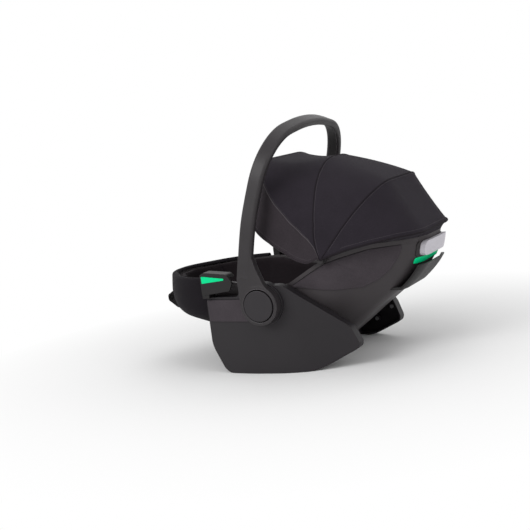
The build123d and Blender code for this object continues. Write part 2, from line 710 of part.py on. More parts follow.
buckle_button = block(button_x - BUCKLE_BUTTON_LENGTH / 2, button_x + BUCKLE_BUTTON_LENGTH / 2,
                      -BUCKLE_BUTTON_HALF, BUCKLE_BUTTON_HALF,
                      buckle_top - BUCKLE_BUTTON_DEPTH, buckle_top + BUCKLE_BUTTON_PROUD)
buckle_button = fillet(buckle_button.edges().group_by(Axis.Z)[-1], radius=1.0)
tongue_low = buckle_low + 0.4
tongue_high = tongue_low + TONGUE_THICK
buckle -= block(BUCKLE_HEAD_X - TONGUE_INSET - 0.4, BUCKLE_HEAD_X + 5.0, -BUCKLE_HALF + 3.0,
                BUCKLE_HALF - 3.0, buckle_low - 1.0, tongue_high + 0.4)
tongues = []
for hand in (1, -1):
    near_y = hand * 1.0
    far_y = hand * (BUCKLE_HALF - 3.6)
    tongues.append(block(BUCKLE_HEAD_X - TONGUE_INSET, BUCKLE_HEAD_X + TONGUE_TAIL,
                         min(near_y, far_y), max(near_y, far_y), tongue_low, tongue_high))
crotch_strap = block(CROTCH_END_X, BUCKLE_HEAD_X - TONGUE_INSET - 2.0, -CROTCH_HALF, CROTCH_HALF,
                     PAD_FLOOR + strap_under, PAD_FLOOR + strap_over)

# Head support, sliding along the back of the seat pad
slope = radians(HEAD_ANGLE)
head_plane = Plane(origin=(HEAD_START_X, 0, HEAD_START_Z), x_dir=(0, 1, 0),
                   z_dir=(cos(slope), 0, sin(slope)))
head_points = [
    (50.0, HEAD_CLEAR),
    (82.0, HEAD_CLEAR + 32.0),
    (84.0, HEAD_HEIGHT),
    (64.0, HEAD_HEIGHT),
    (52.0, HEAD_CLEAR + 30.0),
    (34.0, HEAD_CLEAR + 18.0),
]
head_points = head_points + [(-y, n) for y, n in reversed(head_points)]
head_radii = [16.0, 24.0, 9.0, 9.0, 16.0, 14.0]
head_radii = head_radii + list(reversed(head_radii))
head_support = extrude(head_plane * Pos(0, 0, HEAD_LOW) * rounded(head_points, head_radii),
                       amount=HEAD_LENGTH)
head_foot = Pos(0, (HEAD_LIFT + HEAD_CLEAR + 4.0) / 2, HEAD_LOW + HEAD_LENGTH - HEAD_FOOT_LENGTH)
head_foot = head_plane * head_foot * Rectangle(2 * HEAD_FOOT_HALF, HEAD_CLEAR + 4.0 - HEAD_LIFT)
head_support += extrude(head_foot, amount=HEAD_FOOT_LENGTH)

# Harness adjuster let into the foot slope of the seat pad
tilt = radians(ADJUSTER_TILT)
adjuster_plane = Plane(origin=(ADJUSTER_X, 0, ADJUSTER_Z), x_dir=(-cos(tilt), 0, sin(tilt)),
                       z_dir=(sin(tilt), 0, cos(tilt)))


def adjuster_block(length, half, low, high, corner):
    """A rounded block square to the foot slope, from low to high across it."""
    face = RectangleRounded(length, 2 * half, corner)
    return extrude(adjuster_plane * Pos(0, 0, low) * face, amount=high - low)


seat_pad -= adjuster_block(ADJUSTER_LENGTH + 2 * ADJUSTER_FIT, ADJUSTER_HALF + ADJUSTER_FIT,
                           -ADJUSTER_DEPTH - ADJUSTER_FIT, 40.0, 6.0 + ADJUSTER_FIT)
adjuster = adjuster_block(ADJUSTER_LENGTH, ADJUSTER_HALF, -ADJUSTER_DEPTH, ADJUSTER_PROUD, 6.0)
adjuster -= adjuster_block(ADJUSTER_BUTTON_LENGTH + 2 * ADJUSTER_FIT,
                           ADJUSTER_BUTTON_HALF + ADJUSTER_FIT,
                           -ADJUSTER_DEPTH + ADJUSTER_WALL, 20.0, 4.0 + ADJUSTER_FIT)
adjuster_button = adjuster_block(ADJUSTER_BUTTON_LENGTH, ADJUSTER_BUTTON_HALF,
                                 ADJUSTER_PROUD - ADJUSTER_BUTTON_DEPTH, ADJUSTER_PROUD + 1.2, 4.0)

# Pull strap that loops out of the foot end
loop_x = -HALF_LENGTH + PULL_STRAP_THICK / 2
loop_points = [
    (-290.0, PULL_STRAP_UPPER_Z),
    (-331.0, PULL_STRAP_UPPER_Z),
    (loop_x, PULL_STRAP_UPPER_Z - 12.0),
    (loop_x, PULL_STRAP_LOWER_Z + 14.0),
    (-318.0, PULL_STRAP_LOWER_Z),
    (-260.0, PULL_STRAP_LOWER_Z),
]
loop_path = FilletPolyline(*loop_points, radius=9.0)
back_clear = hull(LEVER_GAP)
pull_strap = side_prism(trace(loop_path, line_width=PULL_STRAP_THICK), -PULL_STRAP_HALF, PULL_STRAP_HALF)
pull_strap -= back_clear
foot_cover -= side_prism(trace(loop_path, line_width=PULL_STRAP_THICK + 1.2),
                         -PULL_STRAP_HALF - 0.6, PULL_STRAP_HALF + 0.6)

# Lap belt guides: a roof and a hanging outer plate on one post, open towards the hub
guide_points = [
    (GUIDE_FOOT_X, GUIDE_LOW_Z),
    (GUIDE_FOOT_X, GUIDE_TOP_Z - 5.0),
    (GUIDE_FOOT_X + 9.0, GUIDE_TOP_Z),
    (GUIDE_TIP_X - 14.0, GUIDE_TIP_TOP_Z),
    (GUIDE_TIP_X, GUIDE_TIP_TOP_Z - 19.0),
    (GUIDE_TIP_X - 9.0, GUIDE_LOW_Z + 8.0),
]
guide_face = rounded(guide_points, [4.0, 4.0, 5.0, 9.0, 8.0, 7.0])
guide = side_prism(guide_face, GUIDE_OUTER - GUIDE_PLATE, GUIDE_OUTER)
guide_core = side_prism(guide_face, GUIDE_INNER, GUIDE_OUTER)
guide += guide_core & block(-BIG, BIG, 0.0, BIG, GUIDE_TIP_TOP_Z - GUIDE_ROOF, BIG)
guide += block(GUIDE_FOOT_X, GUIDE_FOOT_X + GUIDE_POST, GUIDE_INNER, GUIDE_OUTER - 1.0,
               WING_FOOT_Z + 0.3, GUIDE_TIP_TOP_Z)
insert_points = [
    (GUIDE_FOOT_X + 3.0, GUIDE_TOP_Z - 24.0),
    (GUIDE_FOOT_X + 3.0, GUIDE_TOP_Z - 8.0),
    (GUIDE_TIP_X - 20.0, GUIDE_TIP_TOP_Z - 9.0),
    (GUIDE_TIP_X - 20.0, GUIDE_TIP_TOP_Z - 13.0),
]
insert_face = rounded(insert_points, [2.0, 2.0, 1.2, 1.2])
guide -= side_prism(offset(insert_face, amount=INSERT_FIT), GUIDE_OUTER - INSERT_SINK - INSERT_FIT,
                    GUIDE_OUTER + 5.0)
guide_insert = side_prism(insert_face, GUIDE_OUTER - INSERT_SINK, GUIDE_OUTER - INSERT_SINK + INSERT_THICK)

# Rear belt guide, its marked strip, and the release lever in its bezel


def back_zone(half, low, high, corner):
    """The zone behind the seat between two heights."""
    face = Pos(0, (low + high) / 2) * RectangleRounded(2 * half, high - low, corner)
    plane = Plane(origin=(120.0, 0, 0), x_dir=(0, 1, 0), z_dir=(1, 0, 0))
    return extrude(plane * face, amount=400.0, dir=(1, 0, 0))


rear_outer = hull(REAR_GUIDE_REACH)
rear_lip = (rear_outer - hull(REAR_GUIDE_REACH - REAR_GUIDE_LIP)) & back_zone(
    REAR_GUIDE_HALF, REAR_GUIDE_LOW_Z, REAR_GUIDE_TOP_Z, 3.0)
rear_guide = rear_lip + ((rear_outer - hull_clear) & back_zone(
    REAR_GUIDE_HALF, REAR_GUIDE_LOW_Z, REAR_GUIDE_LOW_Z + REAR_GUIDE_FLOOR, 2.0))
rear_insert = strip_skin & back_zone(REAR_INSERT_HALF, REAR_INSERT_LOW_Z, REAR_INSERT_TOP_Z, 4.0)
lever_zone = back_zone(LEVER_HALF, LEVER_LOW_Z, LEVER_TOP_Z, 12.0)
lever = (hull(LEVER_GAP + LEVER_REACH) - back_clear) & lever_zone
bezel = strip_skin & back_zone(LEVER_HALF + 8.0, REAR_INSERT_TOP_Z + 0.4, RIM_HEAD_Z - RIM_BAND - 0.5, 9.0)
bezel -= back_zone(LEVER_HALF + 1.0, LEVER_LOW_Z - 0.6, RIM_HEAD_Z + 20.0, 12.0)

for name, piece in (
    ("seat_tub", tub),
    ("left_base_wing", other_side(wing)),
    ("right_base_wing", wing),
    ("front_cross_beam", beams[0]),
    ("rear_cross_beam", beams[1]),
    ("wing_screws", Compound(children=wing_screws)),
    ("carry_handle", handle),
    ("handle_trim", trim),
    ("left_hub_axle", other_side(axle)),
    ("right_hub_axle", axle),
    ("left_handle_button", other_side(button)),
    ("right_handle_button", button),
    ("left_lock_gear", other_side(gear)),
    ("right_lock_gear", gear),
    ("rear_bow", rear_bow),
    ("middle_bow", middle_bow),
    ("front_bow", front_bow),
    ("visor_bow", visor_bow),
    ("canopy_pins", Compound(children=canopy_pins)),
    ("canopy_rear_panel", rear_panel),
    ("canopy_middle_panel", middle_panel),
    ("canopy_front_panel", front_panel),
    ("canopy_visor", visor_panel),
    ("foot_cover", foot_cover),
    ("left_skirt", other_side(skirt)),
    ("right_skirt", skirt),
    ("left_side_panel", other_side(side_panel)),
    ("right_side_panel", side_panel),
    ("seat_pad", seat_pad),
    ("left_shoulder_strap", other_side(strap)),
    ("right_shoulder_strap", strap),
    ("left_shoulder_pad", other_side(sleeve)),
    ("right_shoulder_pad", sleeve),
    ("buckle", buckle),
    ("buckle_button", buckle_button),
    ("buckle_tongues", Compound(children=tongues)),
    ("crotch_strap", crotch_strap),
    ("head_support", head_support),
    ("harness_adjuster", adjuster),
    ("adjuster_button", adjuster_button),
    ("pull_strap", pull_strap),
    ("left_belt_guide", other_side(guide)),
    ("right_belt_guide", guide),
    ("left_guide_insert", other_side(guide_insert)),
    ("right_guide_insert", guide_insert),
    ("rear_belt_guide", rear_guide),
    ("rear_guide_insert", rear_insert),
    ("release_lever", lever),
    ("lever_bezel", bezel),
):
    export_step(piece, "parts/" + name + ".step")
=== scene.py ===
from math import acos, cos, pi, radians, sin, tan

import bmesh
import bpy
import numpy as np
from mathutils import Matrix, Vector
from mathutils.bvhtree import BVHTree


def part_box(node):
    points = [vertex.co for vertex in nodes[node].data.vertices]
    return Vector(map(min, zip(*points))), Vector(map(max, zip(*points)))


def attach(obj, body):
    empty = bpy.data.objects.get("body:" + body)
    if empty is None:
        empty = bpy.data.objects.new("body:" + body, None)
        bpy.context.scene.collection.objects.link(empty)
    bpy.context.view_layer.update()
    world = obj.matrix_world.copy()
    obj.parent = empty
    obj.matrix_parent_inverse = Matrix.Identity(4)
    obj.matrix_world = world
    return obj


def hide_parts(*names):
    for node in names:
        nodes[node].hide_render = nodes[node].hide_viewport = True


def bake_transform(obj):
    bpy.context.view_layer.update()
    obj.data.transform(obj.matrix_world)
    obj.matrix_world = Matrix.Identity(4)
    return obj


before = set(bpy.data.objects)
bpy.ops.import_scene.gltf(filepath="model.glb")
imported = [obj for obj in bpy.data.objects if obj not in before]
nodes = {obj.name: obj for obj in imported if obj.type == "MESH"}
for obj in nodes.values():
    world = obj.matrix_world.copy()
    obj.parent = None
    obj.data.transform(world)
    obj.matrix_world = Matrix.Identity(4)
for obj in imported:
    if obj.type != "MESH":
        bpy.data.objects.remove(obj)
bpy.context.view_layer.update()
scene = bpy.context.scene

# Sizes in metres, fitted to the solids
PIVOT_X, PIVOT_Z = 0.137, 0.238
CANOPY_SIDE = 0.1755
CANOPY_GROW = 0.0025
CANOPY_START = 0.002
# turn in degrees, reach, corner radius
ARCHES = {
    "hem": (8.5, 0.200, 0.115),
    "rear": (48.4, 0.1949, 0.116),
    "middle": (92.8, 0.2027, 0.157),
    "front": (122.9, 0.2563, 0.103),
    "visor": (152.0, 0.225, 0.110),
}
# turn of a seam in degrees by distance from the pivot: near it, the seams bend away from their bows
SEAM_TURNS = {
    "middle": ((0.0, 105.0), (0.016, 105.0), (0.035, 101.0), (0.076, 94.5), (0.118, 92.8)),
    "front": ((0.0, 108.0), (0.018, 107.0), (0.030, 109.0), (0.045, 113.5), (0.064, 119.5), (0.101, 124.4),
              (0.150, 125.2), (0.190, 124.2), (0.256, 122.9)),
    "visor": ((0.0, 112.0), (0.004, 130.0), (0.008, 150.0), (0.014, 172.0), (0.022, 184.0), (0.030, 186.0),
              (0.055, 175.0), (0.082, 165.0), (0.121, 158.0), (0.152, 155.0), (0.175, 152.5), (0.225, 152.0)),
}
# x and height along the canopy's hem and along the shell's rim
HEM_LINE = ((0.100, 0.228), (0.137, 0.238), (0.142, 0.2415), (0.161, 0.2468), (0.184, 0.253), (0.208, 0.259),
            (0.258, 0.2675), (0.301, 0.272), (0.331, 0.271), (0.360, 0.269))
RIM_LINE = ((-0.400, 0.206), (-0.160, 0.206), (-0.115, 0.204), (-0.030, 0.1885), (0.040, 0.188),
            (0.060, 0.1975), (0.137, 0.2385), (0.180, 0.250), (0.230, 0.2595), (0.300, 0.260), (0.400, 0.260))
# rays that find a surface start this far off, outside every piece; the second is for rays from the side
RAY_FROM, SIDE_RAY_FROM = 0.5, 0.4
CORNER_STEPS = 25
SIDES = (("left", -1), ("right", 1))


# Node tree shorthand
def put(tree, kind, inputs=None, **settings):
    """Adds a node; an input is a value or the socket that feeds it."""
    node = tree.nodes.new(kind)
    for name, value in settings.items():
        setattr(node, name, value)
    for name, value in (inputs or {}).items():
        if isinstance(value, bpy.types.NodeSocket):
            tree.links.new(value, node.inputs[name])
        else:
            node.inputs[name].default_value = value
    return node


def calc(tree, operation, *values):
    return put(tree, "ShaderNodeMath", dict(enumerate(values)), operation=operation).outputs[0]


def remap(tree, value, low, high, new_low, new_high):
    return put(tree, "ShaderNodeMapRange", {"Value": value, "From Min": low, "From Max": high,
                                            "To Min": new_low, "To Max": new_high}).outputs[0]


def noise(tree, place, scale, detail, rough=0.5):
    return put(tree, "ShaderNodeTexNoise", {"Vector": place, "Scale": scale, "Detail": detail,
                                            "Roughness": rough}).outputs[0]


def blend_colour(tree, share, first, second):
    mix = put(tree, "ShaderNodeMix", {0: share}, data_type="RGBA")
    for index, value in ((6, first), (7, second)):
        if isinstance(value, bpy.types.NodeSocket):
            tree.links.new(value, mix.inputs[index])
        else:
            mix.inputs[index].default_value = value
    return mix.outputs[2]


def effect(name, inputs, outputs):
    """A shader group with float inputs and the named outputs."""
    tree = bpy.data.node_groups.new(name, "ShaderNodeTree")
    for label, value in inputs.items():
        socket = tree.interface.new_socket(label, in_out="INPUT", socket_type="NodeSocketFloat")
        socket.default_value = value
    for label, kind in outputs.items():
        tree.interface.new_socket(label, in_out="OUTPUT", socket_type="NodeSocket" + kind)
    return tree, put(tree, "NodeGroupInput").outputs, put(tree, "NodeGroupOutput")


def use(tree, group, **values):
    """Places a group in a material; input names are written with underscores."""
    node = put(tree, "ShaderNodeGroup", node_tree=group)
    for name, value in values.items():
        node.inputs[name.replace("_", " ")].default_value = value
    return node.outputs


def colour(text):
    """A linear colour from a hex code."""
    shares = [int(text[i:i + 2], 16) / 255 for i in (0, 2, 4)]
    return tuple(s / 12.92 if s < 0.04045 else ((s + 0.055) / 1.055) ** 2.4 for s in shares) + (1.0,)


def toned(base, gain, lift=0.0):
    """A colour made lighter or darker, but no lighter than white."""
    return tuple(min(1.0, gain * c + lift) for c in base[:3]) + (1.0,)


# Shared finishes
moulded_skin, given, out = effect(
    "moulded_skin", {"Grain Size": 0.0009, "Grain Depth": 0.15, "Edge Width": 0.0015},
    {"Normal": "Vector", "Edge": "Float", "Mottle": "Float"})
place = put(moulded_skin, "ShaderNodeTexCoord").outputs["Object"]
grain = noise(moulded_skin, place, calc(moulded_skin, "DIVIDE", 1.0, given["Grain Size"]), 2.0, 0.6)
mottle = noise(moulded_skin, place, 14.0, 4.0, 0.65)
soft_edge = put(moulded_skin, "ShaderNodeBevel", {"Radius": given["Edge Width"]}, samples=4).outputs[0]
facing = put(moulded_skin, "ShaderNodeVectorMath", {
    0: soft_edge, 1: put(moulded_skin, "ShaderNodeNewGeometry").outputs["Normal"]},
    operation="DOT_PRODUCT").outputs["Value"]
worn = remap(moulded_skin, facing, 0.995, 0.86, 0.0, 1.0)
patchy = remap(moulded_skin, mottle, 0.38, 0.62, 0.25, 1.0)
moulded_skin.links.new(put(moulded_skin, "ShaderNodeBump", {
    "Strength": given["Grain Depth"], "Distance": 0.0004, "Height": grain,
    "Normal": soft_edge}).outputs[0], out.inputs["Normal"])
moulded_skin.links.new(calc(moulded_skin, "MULTIPLY", worn, patchy), out.inputs["Edge"])
moulded_skin.links.new(mottle, out.inputs["Mottle"])


def thread_back(tree, count):
    """Round back of each thread, from the threads counted across the cloth."""
    return calc(tree, "ABSOLUTE", calc(tree, "SINE", calc(tree, "MULTIPLY", count, pi)))


def melange(tree, slub, cloud):
    """Share of the lighter yarn, from fine slubs over broad clouds."""
    both = calc(tree, "ADD", slub, calc(tree, "MULTIPLY", cloud, 0.6))
    return remap(tree, both, 0.55, 1.05, 0.0, 1.0)


woven_skin, given, out = effect(
    "woven_skin", {"Thread": 0.0010, "Depth": 0.4},
    {"Normal": "Vector", "Thread Tone": "Float", "Melange": "Float"})
coords = put(woven_skin, "ShaderNodeTexCoord")
across = put(woven_skin, "ShaderNodeSeparateXYZ", {0: coords.outputs["UV"]}).outputs
warp = calc(woven_skin, "DIVIDE", across[0], given["Thread"])
weft = calc(woven_skin, "DIVIDE", across[1], given["Thread"])
over = calc(woven_skin, "FLOORED_MODULO", calc(
    woven_skin, "ADD", calc(woven_skin, "FLOOR", warp), calc(woven_skin, "FLOOR", weft)), 2.0)
under = calc(woven_skin, "SUBTRACT", 1.0, over)
thread = calc(woven_skin, "ADD", calc(woven_skin, "MULTIPLY", over, thread_back(woven_skin, warp)),
              calc(woven_skin, "MULTIPLY", under, thread_back(woven_skin, weft)))
slub = noise(woven_skin, coords.outputs["Object"], 420.0, 3.0, 0.7)
cloud = noise(woven_skin, coords.outputs["Object"], 24.0, 3.0)
woven_skin.links.new(put(woven_skin, "ShaderNodeBump", {
    "Strength": given["Depth"], "Distance": 0.0003,
    "Height": calc(woven_skin, "ADD", thread, slub)}).outputs[0], out.inputs["Normal"])
woven_skin.links.new(thread, out.inputs["Thread Tone"])
woven_skin.links.new(melange(woven_skin, slub, cloud), out.inputs["Melange"])

knit_skin, given, out = effect(
    "knit_skin", {"Loop": 0.0016, "Depth": 0.4},
    {"Normal": "Vector", "Loop Tone": "Float", "Melange": "Float"})
place = put(knit_skin, "ShaderNodeTexCoord").outputs["Object"]
loops = put(knit_skin, "ShaderNodeTexVoronoi", {
    "Vector": place, "Scale": calc(knit_skin, "DIVIDE", 1.0, given["Loop"]), "Randomness": 0.35}).outputs[0]
slub = noise(knit_skin, place, 330.0, 3.0)
cloud = noise(knit_skin, place, 20.0, 3.0)
knit_skin.links.new(put(knit_skin, "ShaderNodeBump", {
    "Strength": given["Depth"], "Distance": 0.0004,
    "Height": calc(knit_skin, "SUBTRACT", slub, loops)}).outputs[0], out.inputs["Normal"])
knit_skin.links.new(loops, out.inputs["Loop Tone"])
knit_skin.links.new(melange(knit_skin, slub, cloud), out.inputs["Melange"])


# Materials on the shared finishes
MOTTLE_SPREAD = 0.16
EDGE_LIFT = 0.004
CLOTH_SPECULAR, SHEEN_ROUGH = 0.08, 0.45


def start_material(name):
    made = bpy.data.materials.new(name)
    made.use_nodes = True
    tree = made.node_tree
    return made, tree, tree.nodes["Principled BSDF"]


def moulded(name, base, rough, grain_size=0.0009, grain_depth=0.15, edge_width=0.0015, edge_gain=1.7,
            metal=0.0, specular=0.28):
    """Moulded plastic or plain metal with a fine grain, a soft edge and a little rub along the edges."""
    made, tree, shader = start_material(name)
    skin = use(tree, moulded_skin, Grain_Size=grain_size, Grain_Depth=grain_depth, Edge_Width=edge_width)
    body = blend_colour(tree, skin["Mottle"], toned(base, 1 - MOTTLE_SPREAD), toned(base, 1 + MOTTLE_SPREAD))
    tree.links.new(blend_colour(tree, skin["Edge"], body, toned(base, edge_gain, EDGE_LIFT)),
                   shader.inputs["Base Color"])
    tree.links.new(remap(tree, skin["Mottle"], 0.3, 0.7, rough - 0.06, rough + 0.06), shader.inputs["Roughness"])
    tree.links.new(skin["Normal"], shader.inputs["Normal"])
    shader.inputs["Metallic"].default_value = metal
    shader.inputs["Specular IOR Level"].default_value = specular
    return made


def cloth(name, base, thread=0.0010, depth=0.4, rough=0.85, sheen=0.03, contrast=0.28, knit=False):
    """Woven cloth laid on the piece's own UV map, or knitted cloth on pads."""
    made, tree, shader = start_material(name)
    if knit:
        skin = use(tree, knit_skin, Loop=thread, Depth=depth)
        tone = skin["Loop Tone"]
    else:
        skin = use(tree, woven_skin, Thread=thread, Depth=depth)
        tone = skin["Thread Tone"]
    share = calc(tree, "ADD", calc(tree, "MULTIPLY", tone, 0.35), calc(tree, "MULTIPLY", skin["Melange"], 0.65))
    tree.links.new(blend_colour(tree, share, toned(base, 1 - contrast), toned(base, 1 + contrast)),
                   shader.inputs["Base Color"])
    tree.links.new(remap(tree, skin["Melange"], 0.0, 1.0, rough - 0.05, rough + 0.07), shader.inputs["Roughness"])
    tree.links.new(skin["Normal"], shader.inputs["Normal"])
    shader.inputs["Sheen Weight"].default_value = sheen
    shader.inputs["Sheen Roughness"].default_value = SHEEN_ROUGH
    shader.inputs["Specular IOR Level"].default_value = CLOTH_SPECULAR
    return made


shell_grey = moulded("shell_grey", colour("393537"), 0.46, grain_size=0.0012, grain_depth=0.10)
wing_charcoal = moulded("wing_charcoal", colour("221f22"), 0.50, grain_size=0.0010, grain_depth=0.18)
handle_satin = moulded("handle_satin", colour("2c292b"), 0.42, grain_size=0.0008, grain_depth=0.14,
                       edge_width=0.004)
trim_dark = moulded("trim_dark", colour("1b191a"), 0.55, grain_size=0.0014, grain_depth=0.25)
hub_cap = moulded("hub_cap", colour("272427"), 0.40, grain_size=0.0008, grain_depth=0.10)
gear_black = moulded("gear_black", colour("1d1c1d"), 0.45)
# near-black and nearly matt: painted shade for the shade in the gap round each hub button
groove_painted_shade = moulded("groove_painted_shade", colour("080708"), 0.75, grain_depth=0.0, edge_gain=1.0, specular=0.05)
# lighter grey than the button: partly a painted highlight along the button's chamfer; its gloss also takes real
# highlights from the lamps
bezel_painted_highlight = moulded("bezel_painted_highlight", colour("3a3639"), 0.22, grain_depth=0.0, specular=0.5)
guide_dark = moulded("guide_dark", colour("181617"), 0.48, grain_size=0.0009, grain_depth=0.16)
guide_green = moulded("guide_green", colour("00d58b"), 0.42, grain_size=0.0011, grain_depth=0.08, edge_gain=1.15,
                      specular=0.12)
lever_grey = moulded("lever_grey", colour("c3c0c7"), 0.42, grain_size=0.0010, grain_depth=0.10, edge_gain=1.15)
lever_pocket = moulded("lever_pocket", colour("2b2829"), 0.55)
button_red = moulded("button_red", colour("b3201c"), 0.36, grain_depth=0.06, edge_gain=1.2)
buckle_black = moulded("buckle_black", colour("262425"), 0.42, grain_depth=0.12)
steel = moulded("steel", colour("a9a9ab"), 0.32, grain_size=0.0006, grain_depth=0.06, edge_gain=1.2, metal=1.0)
bow_black = moulded("bow_black", colour("232122"), 0.50)
canopy_weave = cloth("canopy_weave", colour("28242a"), thread=0.0011, depth=0.35)
visor_weave = cloth("visor_weave", colour("332e32"), thread=0.0011, depth=0.30)
cover_weave = cloth("cover_weave", colour("403b3f"), thread=0.0012, depth=0.35)
nose_weave = cloth("nose_weave", colour("19161a"), thread=0.0012, depth=0.35)
pad_knit = cloth("pad_knit", colour("221d20"), thread=0.0017, depth=0.35, knit=True)
head_knit = cloth("head_knit", colour("332e32"), thread=0.0017, depth=0.35, knit=True)
strap_web = cloth("strap_web", colour("2b282a"), thread=0.0016, depth=0.6, rough=0.7, sheen=0.05)
seam_piping = cloth("seam_piping", colour("1f1b1f"), thread=0.0009, depth=0.3, knit=True)
light_piping = cloth("light_piping", colour("4d494c"), thread=0.0009, depth=0.3, knit=True)
seam_thread = cloth("seam_thread", colour("4a464a"), thread=0.0006, depth=0.4, rough=0.65, knit=True)

finish_of = {
    "seat_tub": shell_grey, "left_base_wing": wing_charcoal, "right_base_wing": wing_charcoal,
    "front_cross_beam": wing_charcoal, "rear_cross_beam": wing_charcoal, "wing_screws": steel,
    "carry_handle": handle_satin, "handle_trim": trim_dark, "left_hub_axle": steel, "right_hub_axle": steel,
    "left_handle_button": hub_cap, "right_handle_button": hub_cap, "left_lock_gear": gear_black,
    "right_lock_gear": gear_black, "rear_bow": bow_black, "middle_bow": bow_black, "front_bow": bow_black,
    "visor_bow": bow_black, "canopy_pins": bow_black, "buckle": buckle_black, "buckle_button": button_red,
    "buckle_tongues": steel, "harness_adjuster": buckle_black, "adjuster_button": lever_grey,
    "left_belt_guide": guide_dark, "right_belt_guide": guide_dark, "left_guide_insert": guide_green,
    "right_guide_insert": guide_green, "rear_belt_guide": guide_dark, "rear_guide_insert": guide_green,
    "release_lever": lever_grey, "lever_bezel": lever_pocket,
}
for name, finish in finish_of.items():
    mesh = nodes[name].data
    if not mesh.materials:
        mesh.materials.append(finish)
    for index in range(len(mesh.materials)):
        mesh.materials[index] = finish


# Mesh helpers
def piece(name, points, faces, material, uv):
    """A smooth piece whose UV map is in metres along the cloth."""
    mesh = bpy.data.meshes.new(name)
    mesh.from_pydata([tuple(p) for p in points], [], faces)
    mesh.materials.append(material)
    layer = mesh.uv_layers.new(name="cloth")
    for loop in mesh.loops:
        layer.data[loop.index].uv = uv[loop.vertex_index]
    mesh.polygons.foreach_set("use_smooth", [True] * len(mesh.polygons))
    made = bpy.data.objects.new(name, mesh)
    scene.collection.objects.link(made)
    return made


def grid_normals(grid):
    normal = np.cross(np.gradient(grid, axis=1), np.gradient(grid, axis=0))
    return normal / np.maximum(np.linalg.norm(normal, axis=2, keepdims=True), 1e-9)


def sheet_piece(name, grid, thick, material, outward):
    """A closed sheet: the grid is its outer face, and outward is a point on the grid's outer side."""
    rows, columns = grid.shape[:2]
    normal = grid_normals(grid)
    middle = grid[rows // 2, columns // 2]
    if np.dot(normal[rows // 2, columns // 2], np.array(outward) - middle) < 0:
        grid = grid[:, ::-1]
        normal = grid_normals(grid)
    inner = grid - normal * thick
    u = np.cumsum(np.linalg.norm(np.diff(grid, axis=1, prepend=grid[:, :1]), axis=2), axis=1)
    u = u - u[:, columns // 2:columns // 2 + 1]
    v = np.cumsum(np.linalg.norm(np.diff(grid, axis=0, prepend=grid[:1]), axis=2), axis=0)
    points = np.concatenate([grid.reshape(-1, 3), inner.reshape(-1, 3)])
    uv = np.stack([u.ravel(), v.ravel()], axis=1)
    uv = np.concatenate([uv, uv])
    inside = rows * columns
    faces = []
    for r in range(rows - 1):
        for c in range(columns - 1):
            a, b = r * columns + c, r * columns + c + 1
            d, e = a + columns, b + columns
            faces.append((a, b, e, d))
            faces.append((a + inside, d + inside, e + inside, b + inside))
    ring = list(range(columns)) + [r * columns + columns - 1 for r in range(1, rows)]
    ring += [(rows - 1) * columns + c for c in range(columns - 2, -1, -1)]
    ring += [r * columns for r in range(rows - 2, 0, -1)]
    for first, second in zip(ring, ring[1:] + ring[:1]):
        faces.append((first, first + inside, second + inside, second))
    return piece(name, points, faces, material, uv)


def rounded_line(points, radius, count):
    """Evenly spaced points along a line whose inner corners are rounded."""
    points = [np.array(p, float) for p in points]
    path = [points[0]]
    for before, corner, after in zip(points, points[1:], points[2:]):
        back = (before - corner) / np.linalg.norm(before - corner)
        on = (after - corner) / np.linalg.norm(after - corner)
        half = acos(float(np.dot(back, on))) / 2
        centre = corner + (back + on) / np.linalg.norm(back + on) * radius / sin(half)
        first = corner + back * radius / tan(half) - centre
        last = corner + on * radius / tan(half) - centre
        turn = pi - 2 * half
        for w in np.linspace(0, 1, CORNER_STEPS):
            path.append(centre + (first * sin((1 - w) * turn) + last * sin(w * turn)) / sin(turn))
    path.append(points[-1])
    return even_points(np.array(path), count)


def even_points(path, count):
    steps = np.concatenate([[0], np.cumsum(np.linalg.norm(np.diff(path, axis=0), axis=1))])
    share = np.linspace(0, steps[-1], count)
    return np.stack([np.interp(share, steps, path[:, k]) for k in range(path.shape[1])], axis=1)


def read_off(line, x):
    """The second number of a list of pairs, read off between them at x."""
    return np.interp(x, [p[0] for p in line], [p[1] for p in line])


def smooth_step(share):
    share = np.clip(share, 0, 1)
    return share * share * (3 - 2 * share)


def skin_of(made):
    """A piece's surface, for rays."""
    mesh = made.data
    return BVHTree.FromPolygons([v.co for v in mesh.vertices], [p.vertices for p in mesh.polygons])


def line_on_top(skin, xs, y_at, count, lift=0.0):
    """Evenly spaced points on a surface as seen from above; y_at gives the line's y along x."""
    hits = [skin.ray_cast(Vector((x, y_at(x), RAY_FROM)), Vector((0, 0, -1)))[0] for x in xs]
    return even_points(np.array([tuple(hit + Vector((0, 0, lift))) for hit in hits if hit is not None]), count)


# Geometry node trees for what follows a line
def line_tree(name, inputs):
    tree = bpy.data.node_groups.new(name, "GeometryNodeTree")
    tree.interface.new_socket("Geometry", in_out="INPUT", socket_type="NodeSocketGeometry")
    for label, value in inputs.items():
        socket = tree.interface.new_socket(label, in_out="INPUT", socket_type="NodeSocketFloat")
        socket.default_value = value
    tree.interface.new_socket("Finish", in_out="INPUT", socket_type="NodeSocketMaterial")
    tree.interface.new_socket("Geometry", in_out="OUTPUT", socket_type="NodeSocketGeometry")
    given = put(tree, "NodeGroupInput").outputs
    curve = put(tree, "GeometryNodeMeshToCurve", {"Mesh": given["Geometry"]}).outputs[0]
    return tree, given, curve, put(tree, "NodeGroupOutput")


piping_tree, given, curve, out = line_tree("piping", {"Radius": 0.0015})
ring = put(piping_tree, "GeometryNodeCurvePrimitiveCircle", {
    "Resolution": 10, "Radius": given["Radius"]}).outputs[0]
tube = put(piping_tree, "GeometryNodeCurveToMesh", {
    "Curve": curve, "Profile Curve": ring, "Fill Caps": True}).outputs[0]
tube = put(piping_tree, "GeometryNodeSetShadeSmooth", {0: tube}).outputs[0]
tube = put(piping_tree, "GeometryNodeRealizeInstances", {0: tube}).outputs[0]
tube = put(piping_tree, "GeometryNodeSetMaterial", {"Geometry": tube, "Material": given["Finish"]}).outputs[0]
piping_tree.links.new(tube, out.inputs[0])

